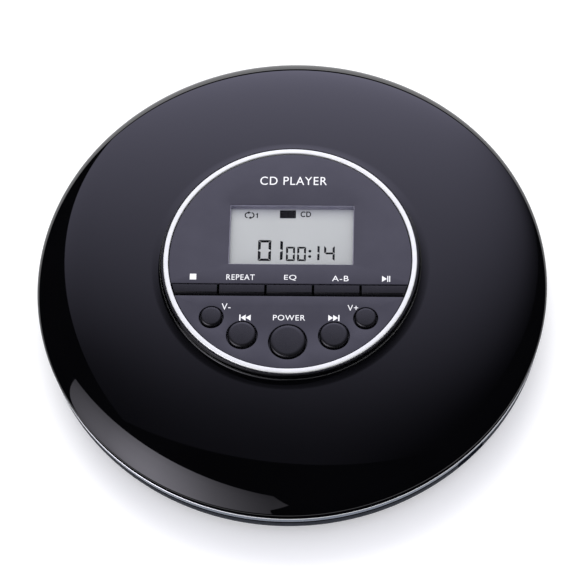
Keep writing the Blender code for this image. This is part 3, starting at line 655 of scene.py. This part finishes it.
def labels():
    top = box_mm("upper_panel")[1].z
    low, high = top + LABEL_DEPTH[0], top + LABEL_DEPTH[1]
    words = {
        "label_model": ("CD PLAYER", -8.8, 9.5, 25.7, 23.1),
        "label_repeat": ("REPEAT", -17.05, -9.4, -4.8, -6.45),
        "label_eq": ("EQ", -1.45, 1.85, -4.85, -6.6),
        "label_ab": ("A-B", 11.5, 15.95, -5.0, -6.65),
        "label_power": ("POWER", -4.1, 4.5, -17.0, -18.65),
        "label_volume_down": ("V-", -18.0, -15.6, -13.65, -15.6),
        "label_volume_up": ("V+", 15.8, 18.65, -13.85, -15.6),
    }
    for name, (text, left, right, upper, lower) in words.items():
        letters = lettering(text, left, right, upper, lower)
        add_piece(name, flatten(letters, low, high), "ink", "lid")
    icons = {
        "icon_stop": [rectangle(-26.95, -25.2, -6.45, -4.7)],
        "icon_play_pause": [[(24.95, -4.95), (24.95, -6.75), (26.25, -5.85)],
                            rectangle(26.35, 26.62, -6.75, -4.95), rectangle(26.87, 27.14, -6.75, -4.95)],
        "icon_previous": [rectangle(-13.15, -12.8, -18.8, -17.0),
                          [(-11.45, -17.0), (-12.75, -17.9), (-11.45, -18.8)],
                          [(-10.1, -17.0), (-11.4, -17.9), (-10.1, -18.8)]],
        "icon_next": [rectangle(13.35, 13.7, -18.7, -16.9),
                      [(12.0, -16.9), (13.3, -17.8), (12.0, -18.7)],
                      [(10.7, -16.9), (11.98, -17.8), (10.7, -18.7)]],
    }
    for name, shapes in icons.items():
        add_piece(name, prism(shapes, low, high), "ink", "lid")


def digit(which, left, right, top, bottom, stroke):
    """The segments of a figure in a seven-segment display."""
    lit = {"0": "abcdef", "1": "bc", "4": "bcfg"}[which]
    gap = stroke * 0.12
    w, h, s = right - left, top - bottom, stroke
    half = h / 2
    shapes = {
        "a": [(gap, h), (w - gap, h), (w - s - gap, h - s), (s + gap, h - s)],
        "b": [(w, h - gap), (w, half + gap), (w - s, half + gap + s * 0.5), (w - s, h - s - gap)],
        "c": [(w, half - gap), (w, gap), (w - s, s + gap), (w - s, half - gap - s * 0.5)],
        "d": [(gap, 0), (w - gap, 0), (w - s - gap, s), (s + gap, s)],
        "e": [(0, half - gap), (0, gap), (s, s + gap), (s, half - gap - s * 0.5)],
        "f": [(0, h - gap), (0, half + gap), (s, half + gap + s * 0.5), (s, h - s - gap)],
        "g": [(s, half + s / 2), (w - s, half + s / 2), (w - s * 0.5, half), (w - s, half - s / 2),
              (s, half - s / 2), (s * 0.5, half)],
    }
    if which == "1":
        shapes = {
            "b": [(0, h), (s, h - s * 0.3), (s, half + gap), (0, half + gap + s * 0.5)],
            "c": [(s, half - gap), (s, s * 0.3), (0, 0), (0, half - gap - s * 0.5)],
        }
    return [[(left + x, bottom + y) for x, y in shapes[k]] for k in lit]


def arc_band(centre, radius, width, start, end, steps=14):
    angles = [math.radians(start + (end - start) * i / steps) for i in range(steps + 1)]
    outer = [(centre[0] + (radius + width / 2) * math.cos(a), centre[1] + (radius + width / 2) * math.sin(a))
             for a in angles]
    inner = [(centre[0] + (radius - width / 2) * math.cos(a), centre[1] + (radius - width / 2) * math.sin(a))
             for a in reversed(angles)]
    return outer + inner


def display():
    low, high = box_mm("display_cell")
    top = high.z
    cell = block(low.x, high.x, low.y, high.y, low.z, top, 0.12)
    fine("display_cell", cell, "liquid_crystal")
    s_low, s_high = top + SEGMENT_DEPTH[0], top + SEGMENT_DEPTH[1]
    big = digit("0", -8.87, -5.28, 6.62, 0.18, 0.74) + digit("1", -2.85, -2.05, 6.4, 0.45, 0.74)
    small = digit("0", -1.22, 1.22, 4.62, 0.2, 0.56) + digit("0", 1.83, 4.22, 4.62, 0.2, 0.56)
    small += digit("1", 7.3, 7.92, 4.95, 0.45, 0.6) + digit("4", 9.12, 12.02, 4.98, 0.3, 0.58)
    small += [circle(0.42, (5.25, 3.3), 20), circle(0.42, (5.25, 1.65), 20)]
    add_piece("display_track_figures", prism(big, s_low, s_high), "segment", "lid")
    add_piece("display_time_figures", prism(small, s_low, s_high), "segment", "lid")
    marks = [arc_band((-11.9, 14.35), 0.8, 0.32, 100, 260), arc_band((-11.1, 14.35), 0.8, 0.32, -80, 80),
             rectangle(-11.95, -11.2, 14.99, 15.31), rectangle(-11.7, -10.95, 13.39, 13.71),
             [(-12.3, 15.15), (-11.6, 15.62), (-11.6, 14.68)],
             [(-10.7, 13.55), (-11.4, 14.02), (-11.4, 13.08)],
             rectangle(-3.2, 1.2, 13.45, 15.95), rectangle(-9.5, -9.2, 13.5, 15.0),
             [(-9.9, 14.6), (-9.75, 14.45), (-9.4, 14.8), (-9.4, 15.0)]]
    add_piece("display_marks", prism(marks, s_low, s_high), "segment", "lid")
    source = flatten(lettering("CD", 2.45, 5.35, 15.65, 13.85, 0.025), s_low, s_high)
    add_piece("display_source", source, "segment", "lid")
    w_low, w_high = box_mm("display_window")
    outer = fillet(rectangle(w_low.x - 0.14, w_high.x + 0.14, w_low.y - 0.14, w_high.y + 0.14), 0.34, 5)
    inner = fillet(rectangle(w_low.x - 0.01, w_high.x + 0.01, w_low.y - 0.01, w_high.y + 0.01), 0.26, 5)
    wall = plate(outer, top + 0.02, w_high.z + 0.3, [inner])
    # Painted shade: the sheet under the window is a narrow mask edge on three sides and a wide grey-blue
    # strip along the rear, standing in for the shadow that the recess casts on the display. The wall is a
    # real gasket.
    rim = rectangle(w_low.x + 0.06, w_high.x - 0.06, w_low.y + 0.06, w_high.y - 0.42)
    mask_and_shade_strip = plate(rectangle(w_low.x, w_high.x, w_low.y, w_high.y), top + 0.03, w_low.z - 0.03, [rim])
    add_piece("display_gasket_and_shade_strip", joined([wall, mask_and_shade_strip]), "gasket", "lid")
    window = plate(fillet(rectangle(w_low.x, w_high.x, w_low.y, w_high.y), 0.25, 5), w_low.z, w_high.z)
    fine("display_window", bevel_edges(window, 0.06), "clear_plastic")


def slotted_cross(x, y, z0, z1, size, width):
    """The cutter for a screw's cross recess: one solid with a plus-shaped outline."""
    arm = [(size, -width), (size, width), (width, width)]
    outline = []
    for turn in range(4):
        cos, sin = ((1, 0), (0, 1), (-1, 0), (0, -1))[turn]
        outline += [(x + cos * u - sin * v, y + sin * u + cos * v) for u, v in arm]
    return plate(outline, z0, z1)


def pod_underside():
    low, high = box_mm("pod_cover")
    holes = [circle(1.05, polar(POD_SCREW_RADIUS, a), 32) for a in POD_SCREW_ANGLES]
    cover = bevel_edges(plate(circle(high.x, sides=192), low.z, high.z, holes), 0.12)
    rings = [turned(fillet([(r, low.z - 0.18), (r + 0.7, low.z - 0.18), (r + 0.7, low.z + 0.2),
                            (r, low.z + 0.2)], 0.1, 3), sides=160) for r in (10.0, 20.0)]
    fine("pod_cover", joined([cover, *rings]), "dark_plastic")
    for i, angle in enumerate(POD_SCREW_ANGLES, 1):
        x, y = polar(POD_SCREW_RADIUS, angle)
        low, high = box_mm(f"pod_screw_{i}")
        head = axis_fillet([(0.0, high.z), (0.8, high.z), (0.8, 19.75), (1.6, 19.75), (1.6, 19.25),
                            (0.9, low.z + 0.02), (0.0, low.z)], 0.08)
        made = boolean(turned(head, (x, y), 48), slotted_cross(x, y, low.z - 0.5, low.z + 0.4, 0.85, 0.16))
        fine(f"pod_screw_{i}", made, "steel")


# ---------------------------------------------------------------- lower case


def hinge_gap(start_y):
    """The gap at the rear that the lid's edge swings into."""
    return block(-16.5, 16.5, start_y, 71.0, 12.4, 15.0)


def latch_opening():
    return at_angle(block(64.0, 72.0, -4.6, 4.6, 7.45, 10.55), LATCH_ANGLE)


def jack_opening():
    return rod((62.0, JACK_Y, JACK_Z), (72.0, JACK_Y, JACK_Z), 2.95, 48)


def base():
    outer = [(69.4, 14.2), (69.4, GROOVE_TOP), (67.4, GROOVE_TOP), (67.4, GROOVE_BOTTOM),
             (69.4, GROOVE_BOTTOM), (69.4, SEAM_SHADE_Z), (69.4, 7.3), (68.8, 5.3), (67.3, 3.5), (65.0, 2.1),
             (62.2, 1.3), (59.0, 1.0), (0.0, 1.0)]
    sizes = [0.25, 0.15, 0.0, 0.0, 0.2, 0.0, 5.0, 5.0, 5.0, 5.0, 5.0, 6.0, 0.0]
    inner = [(0.0, 2.4), (58.6, 2.4), (61.9, 3.0), (64.5, 4.2), (66.0, 6.2), (66.1, 8.5), (66.1, 14.2)]
    profile = fillet(outer + inner, sizes + [0.0, 3.0, 3.0, 3.0, 3.0, 0.0, 0.15], 5)
    made = turned(profile, sides=216)
    cuts = [latch_opening(), at_angle(block(64.0, 72.0, -4.4, 4.4, 7.3, 9.9), HOLD_ANGLE), jack_opening(),
            block(63.0, 72.0, -4.8, 4.8, 5.9, 9.7), hinge_gap(66.9)]
    for angle in CASE_SCREW_ANGLES:
        x, y = polar(CASE_SCREW_CIRCLE, angle)
        hole = [(0.0, 0.0), (2.6, 0.0), (2.6, 1.7), (1.3, 1.7), (1.3, 3.0), (0.0, 3.0)]
        cuts.append(turned(hole, (x, y), 48))
    for angle in FOOT_ANGLES:
        x, y = polar(FOOT_CIRCLE, angle)
        cuts.append(rod((x, y, 0.0), (x, y, 1.45), 4.7, 64))
    ring_groove = turned([(43.0, 0.5), (43.5, 0.5), (43.5, 1.2), (43.0, 1.2)], sides=216)
    label_recess = block(-15.0, 15.0, -34.0, -20.0, 0.5, 1.2)
    cuts += [ring_groove, label_recess]
    made = boolean(made, joined(cuts))
    barrel = hinge_barrel(-5.0, 5.0, block(-5.0, 5.0, 66.3, HINGE_Y + 0.1, 12.6, HINGE_Z - 0.1))
    made = boolean(made, barrel, "UNION")
    posts = []
    for i in (1, 2, 3):
        low, high = box_mm(f"damper_{i}")
        x, y = (low.x + high.x) / 2, (low.y + high.y) / 2
        posts.append(rod((x, y, 2.3), (x, y, 12.1), 1.5, 32))
    shell = fine("base_shell", joined([made, *posts]), "dark_plastic", "case_black", 30.0)
    # Painted shade: the case above the seam height gets the matte black seam paint, standing for the shaded
    # gap under the trim band.
    shell.data.materials.append(paints["seam_black"])
    for face in shell.data.polygons:
        if face.center.z / MM > SEAM_SHADE_Z:
            face.material_index = 1


def trim_band():
    low, high = box_mm("trim_band")
    profile = [(BAND_INNER, low.z), (BAND_INNER, high.z), (high.x, high.z), (high.x, low.z)]
    made = turned(fillet(profile, [0.05, 0.05, 0.1, 0.2], 6), sides=288)
    cuts = [hinge_gap(60.0), latch_opening(), jack_opening()]
    fine("trim_band", boolean(made, joined(cuts)), "band_grey")
    lip = [(high.x - 0.3, high.z + 0.1), (high.x - 0.3, high.z - 0.3), (high.x + 0.02, high.z - 0.45),
           (high.x + LIP_OUT, high.z - 0.25), (high.x + LIP_OUT, high.z + 0.1)]
    made = turned(fillet(lip, [0.05, 0.0, 0.1, 0.2, 0.2], 5), sides=288)
    add_piece("trim_band_lip", boolean(made, hinge_gap(60.0)), "polished", "base")


def feet_and_screws():
    for i, angle in enumerate(FOOT_ANGLES, 1):
        low, high = box_mm(f"foot_{i}")
        centre = polar(FOOT_CIRCLE, angle)
        radius = (high.x - low.x) / 2
        foot = axis_fillet([(0.0, high.z), (radius, high.z), (radius, 0.0), (2.9, 0.0), (2.7, 0.25),
                            (0.0, 0.25)], 0.3)
        fine(f"foot_{i}", turned(foot, centre, 96), "rubber")
    for i, angle in enumerate(CASE_SCREW_ANGLES, 1):
        low, high = box_mm(f"case_screw_{i}")
        x, y = polar(CASE_SCREW_CIRCLE, angle)
        screw = axis_fillet([(0.0, high.z), (0.95, high.z), (0.95, 1.55), (2.2, 1.55), (2.2, 1.05),
                             (1.2, low.z), (0.0, low.z)], 0.1)
        made = boolean(turned(screw, (x, y), 64), slotted_cross(x, y, 0.0, low.z + 0.5, 1.2, 0.2))
        fine(f"case_screw_{i}", made, "steel")


def deck():
    profile = [(16.0, 13.4), (61.6, 13.4), (62.2, 14.2), (65.8, 14.2), (65.8, 13.2), (62.6, 13.2),
               (62.0, 12.4), (16.0, 12.4)]
    made = turned(fillet(profile, 0.25, 4), sides=240)
    low, high = box_mm("objective_lens")
    lens_y = (low.y + high.y) / 2
    half = [math.pi * i / 32 for i in range(33)]
    slot_end_y = lens_y - SLED_TRAVEL
    slot = [(SLOT_RADIUS * math.cos(a), SLOT_START_Y + SLOT_RADIUS * math.sin(a)) for a in half]
    slot += [(-SLOT_RADIUS * math.cos(a), slot_end_y - SLOT_RADIUS * math.sin(a)) for a in half]
    cuts = [plate(slot, 11.0, 16.0), at_angle(block(58.9, 65.1, -4.7, 4.7, 11.0, 16.0), LATCH_ANGLE),
            block(16.4, 23.6, 60.4, 62.8, 11.0, 16.0)]
    made = boolean(made, joined(cuts))
    tubes = []
    for angle in CASE_SCREW_ANGLES:
        x, y = polar(CASE_SCREW_CIRCLE, angle)
        tubes.append(turned([(2.1, 2.7), (2.1, 12.9), (1.15, 12.9), (1.15, 2.7)], (x, y), 32))
    fine("disc_deck", joined([made, *tubes]), "dark_plastic")


def hub():
    top = box_mm("spindle_hub")[1].z
    profile = [(0.0, top), (4.9, top), (6.6, 17.4), (7.3, 16.6), (7.3, 15.75), (9.2, SEAT_Z), (14.5, SEAT_Z),
               (14.5, 14.3), (13.7, 14.1), (3.0, 14.1), (3.0, 12.2), (1.0, 11.8), (1.0, 10.6), (0.0, 10.6)]
    made = turned(axis_fillet(profile, 0.4), sides=128)
    cuts = [turned([(1.6, top - 0.5), (4.0, top - 0.5), (4.0, top + 1), (1.6, top + 1)], sides=96),
            turned([(10.2, 15.3), (13.6, 15.3), (13.6, 16.0), (10.2, 16.0)], sides=128)]
    for angle in CATCH_ANGLES:
        cuts.append(at_angle(block(5.2, 8.0, -1.5, 1.5, 15.9, 18.2), angle))
    made = boolean(made, joined(cuts))
    fine("spindle_hub", made, "dark_plastic")
    body = NODES["spindle_hub"]["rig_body"]
    balls = []
    for angle in CATCH_ANGLES:
        ball = bmesh.new()
        bmesh.ops.create_uvsphere(ball, u_segments=32, v_segments=20, radius=BALL_RADIUS,
                                  matrix=Matrix.Translation(BALL_PLACE))
        balls.append(at_angle(ball, angle))
    add_piece("hub_balls", joined(balls), "polished", body)
    section = fillet([(10.3, 15.3), (10.3, SEAT_Z), (13.5, SEAT_Z), (13.5, 15.3)], [0.0, 0.12, 0.12, 0.0], 4)
    add_piece("hub_pad", turned(section, sides=128), "rubber", body)


def pickup():
    low, high = box_mm("objective_lens")
    y = (low.y + high.y) / 2
    glass = [(0.0, high.z)] + [(1.9 * t, high.z - 0.45 * t**2) for t in (0.2, 0.4, 0.6, 0.8, 1.0)]
    glass += [(2.05, 13.55), (3.3, 13.55), (3.4, 13.45), (3.4, 13.1), (0.0, 13.1)]
    fine("objective_lens", turned(glass, (0.0, y), 96), "clear_plastic", "lens_blue")


def hold_and_release():
    """The two small controls in the wall of the case."""
    section = [(60.5, 7.9), (66.2, 7.9), (66.2, 9.4), (61.7, 9.4), (61.7, 12.0), (62.4, 12.0),
               (62.4, 12.9), (60.5, 12.9)]
    arm = upright(bevel_edges(plate(section, -2.5, 2.5), 0.1), LATCH_ANGLE)
    cap = at_angle(block(65.9, 68.75, -4.2, 4.2, 7.8, 10.2, 0.35), LATCH_ANGLE)
    fine("release_button", joined([arm, cap]), "dark_plastic")
    knob = block(66.6, 69.45, -3.7, 0.7, 7.6, 9.6, 0.25)
    ribs = [block(69.2, 69.5, y, y + 0.3, 7.9, 9.3, 0.05) for y in (-2.5, -1.9, -1.3, -0.7)]
    guide = block(64.0, 65.3, -5.2, 2.2, 7.0, 10.2, 0.15)
    neck = block(65.1, 66.8, -3.0, 0.0, 8.0, 9.2, 0.1)
    fine("hold_slider", at_angle(joined([knob, guide, neck, *ribs]), HOLD_ANGLE), "dark_plastic")


def plain_nodes():
    """The CAD shapes that show as they are get their slot's finish."""
    for name, node in NODES.items():
        if node.hide_render:
            continue
        slot = node.data.materials[0].name.split(".")[0]
        node.data.materials.clear()
        node.data.materials.append(paints[slot])


# ---------------------------------------------------------------- all pieces

lid()
trim_ring()
panels()
round_buttons()
keys()
labels()
display()
pod_underside()
base()
trim_band()
feet_and_screws()
deck()
hub()
pickup()
hold_and_release()
plain_nodes()

# ---------------------------------------------------------------- studio

KEY_POWER = 30.0
KEY_SIZE = 1.8
KEY_PLACE = (-0.25, 1.6, 1.9)
KEY_COLOUR = (1.0, 1.0, 0.9)
ROOM_LIGHT = 1.12
ROOM_COLOUR = (0.93, 0.93, 1.0, 1.0)
FLOOR_GLOW = 0.2
CLOTH_REACH = 2.5  # metres from the part to the cloths' corners
REAR_COLOUR = (0.76, 0.74, 1.0)
REAR_STRENGTH = 2.42
REAR_ACROSS = [(0.0, 0.5), (0.18, 0.6), (0.41, 1.0), (0.64, 0.85), (0.84, 0.14), (1.0, 0.0)]
REAR_UP = [(0.0, 0.9), (0.14, 1.0), (0.32, 0.97), (0.5, 0.58), (0.68, 0.12), (0.86, 0.05), (1.0, 0.045)]
FRONT_COLOUR = (0.905, 0.875, 1.0)
FRONT_STRENGTH = 4.42
FRONT_ACROSS = [(0.0, 0.25), (0.28, 0.6), (0.42, 1.0), (0.54, 0.98), (0.74, 0.36), (1.0, 0.1)]
FRONT_UP = [(0.0, 0.9), (0.5, 1.0), (0.85, 0.8), (1.0, 0.6)]
FRONT_OUTLINE = ((0, 0), (0.985, 0), (0.985, 0.42), (1.085, 0.74), (1.0, 1), (0, 1))
CAMERA_AZIMUTH = 4.984
CAMERA_ELEVATION = 61.6
CAMERA_ROLL = -3.981
CAMERA_DISTANCE = 0.754039
CAMERA_LENS = 173.0
CAMERA_AIM = -0.011274  # slope of the line of sight: a negative one passes below the target


def flat_object(name, corners, places, paint):
    """One flat face with texture places at its corners, as a part of the studio."""
    mesh = bpy.data.meshes.new(name)
    mesh.from_pydata(corners, [], [tuple(range(len(corners)))])
    layer = mesh.uv_layers.new(name="across")
    for i, place in enumerate(places):
        layer.data[i].uv = place
    obj = bpy.data.objects.new(name, mesh)
    bpy.context.scene.collection.objects.link(obj)
    mesh.materials.append(paint)
    return obj


def floor():
    made, tree, shader = new_material("floor_paint")
    tree.links.new(ramp(tree, noise(tree, 3.0), (0.90, 0.90, 0.905), (0.91, 0.91, 0.915)),
                   shader.inputs["Base Color"])
    tree.links.new(spread(tree, noise(tree, 12.0), 0.85, 0.95), shader.inputs["Roughness"])
    shader.inputs["Specular IOR Level"].default_value = 0.0
    shader.inputs["Emission Color"].default_value = (1.0, 1.0, 0.97, 1.0)
    shader.inputs["Emission Strength"].default_value = FLOOR_GLOW
    corners = rectangle(-9.0, 9.0, -9.0, 9.0)
    flat_object("floor", [(x, y, 0.0) for x, y in corners], corners, made)


def glow(name, colour, stops_across, stops_up, strength):
    """Light from a softbox cloth: brightness follows ramps across and up the cloth."""
    made = bpy.data.materials.new(name)
    made.use_nodes = True
    tree = made.node_tree
    tree.nodes.clear()
    place = tree.nodes.new("ShaderNodeUVMap")
    place.uv_map = "across"
    split = tree.nodes.new("ShaderNodeSeparateXYZ")
    tree.links.new(place.outputs["UV"], split.inputs["Vector"])
    ramps = []
    for axis, stops in (("X", stops_across), ("Y", stops_up)):
        band = tree.nodes.new("ShaderNodeValToRGB")
        band.color_ramp.interpolation = "B_SPLINE"
        elements = band.color_ramp.elements
        while len(elements) < len(stops):
            elements.new(0.5)
        for element, (position, value) in zip(elements, stops):
            element.position = position
            element.color = (value, value, value, 1.0)
        tree.links.new(split.outputs[axis], band.inputs["Fac"])
        ramps.append(band.outputs["Color"])
    product = tree.nodes.new("ShaderNodeMath")
    product.operation = "MULTIPLY"
    tree.links.new(ramps[0], product.inputs[0])
    tree.links.new(ramps[1], product.inputs[1])
    gain = tree.nodes.new("ShaderNodeMath")
    gain.operation = "MULTIPLY"
    gain.inputs[1].default_value = strength
    tree.links.new(product.outputs[0], gain.inputs[0])
    emission = tree.nodes.new("ShaderNodeEmission")
    emission.inputs["Color"].default_value = (*colour, 1.0)
    tree.links.new(gain.outputs[0], emission.inputs["Strength"])
    output = tree.nodes.new("ShaderNodeOutputMaterial")
    tree.links.new(emission.outputs[0], output.inputs["Surface"])
    return made


def softbox(name, corner, down, across, paint, outline=((0, 0), (1, 0), (1, 1), (0, 1))):
    """A softbox cloth. Its outline is given as shares of the two sides, up and across from the lower left
    corner. It lights the scene but the camera doesn't see it."""
    corners = [corner + down * (1 - up) + across * along for along, up in outline]
    made = flat_object(name, corners, outline, paint)
    made.visible_camera = False
    made.visible_diffuse = False
    made.visible_shadow = False
    return made


def lights():
    paint = glow("rear_cloth", REAR_COLOUR, REAR_ACROSS, REAR_UP, REAR_STRENGTH)
    corner = Vector((-0.5747, -0.0442, 0.8171)) * CLOTH_REACH
    down = Vector((0.123, 0.762, -0.759)) * CLOTH_REACH
    across = Vector((1.0393, -0.1674, 0.0)) * CLOTH_REACH
    softbox("rear_softbox", corner - down * 0.03, down * 1.05, across, paint)
    paint = glow("front_cloth", FRONT_COLOUR, FRONT_ACROSS, FRONT_UP, FRONT_STRENGTH)
    corner = Vector((-0.7326, 0.0835, 0.6756)) * CLOTH_REACH
    down = Vector((0.0124, -0.2274, -0.5802)) * CLOTH_REACH
    across = Vector((0.6503, -0.5133, 0.2145)) * CLOTH_REACH
    softbox("front_softbox", corner + down * 0.1, down * 1.05, across, paint, FRONT_OUTLINE)
    key = bpy.data.lights.new("key", "AREA")
    key.shape = "SQUARE"
    key.size = KEY_SIZE
    key.energy = KEY_POWER
    key.color = KEY_COLOUR
    key_lamp = bpy.data.objects.new("key", key)
    key_lamp.location = KEY_PLACE
    key_lamp.rotation_mode = "QUATERNION"
    key_lamp.rotation_quaternion = Vector(key_lamp.location).to_track_quat("Z", "Y")
    key_lamp.visible_glossy = False
    bpy.context.scene.collection.objects.link(key_lamp)
    world = bpy.data.worlds.new("studio")
    bpy.context.scene.world = world
    world.use_nodes = True
    background = world.node_tree.nodes["Background"]
    background.inputs["Color"].default_value = ROOM_COLOUR
    background.inputs["Strength"].default_value = ROOM_LIGHT
    world.cycles_visibility.glossy = False


def camera():
    """The photograph's viewpoint: well above the floor and slightly right of the front."""
    low, high = box_mm("trim_ring")
    target = Vector(((low.x + high.x) / 2, (low.y + high.y) / 2, high.z)) * MM
    azimuth, elevation = math.radians(CAMERA_AZIMUTH), math.radians(CAMERA_ELEVATION)
    roll = math.radians(CAMERA_ROLL)
    back = Vector((math.sin(azimuth) * math.cos(elevation), -math.cos(azimuth) * math.cos(elevation),
                   math.sin(elevation)))
    right = Vector((math.cos(azimuth), math.sin(azimuth), 0.0))
    up = back.cross(right)
    right_rolled = right * math.cos(roll) + up * math.sin(roll)
    up_rolled = up * math.cos(roll) - right * math.sin(roll)
    data = bpy.data.cameras.new("camera")
    data.sensor_width = 36.0
    data.lens = CAMERA_LENS
    data.clip_start = 0.05
    data.clip_end = 60.0
    obj = bpy.data.objects.new("camera", data)
    bpy.context.scene.collection.objects.link(obj)
    aim = -back + up_rolled * CAMERA_AIM
    backward = -aim.normalized()
    x_axis = (right_rolled - backward * right_rolled.dot(backward)).normalized()
    y_axis = backward.cross(x_axis)
    turn = Matrix((x_axis, y_axis, backward)).transposed()
    obj.matrix_world = Matrix.Translation(target + back * CAMERA_DISTANCE) @ turn.to_4x4()
    bpy.context.scene.camera = obj


floor()
lights()
camera()
bpy.context.scene.view_settings.view_transform = "Standard"
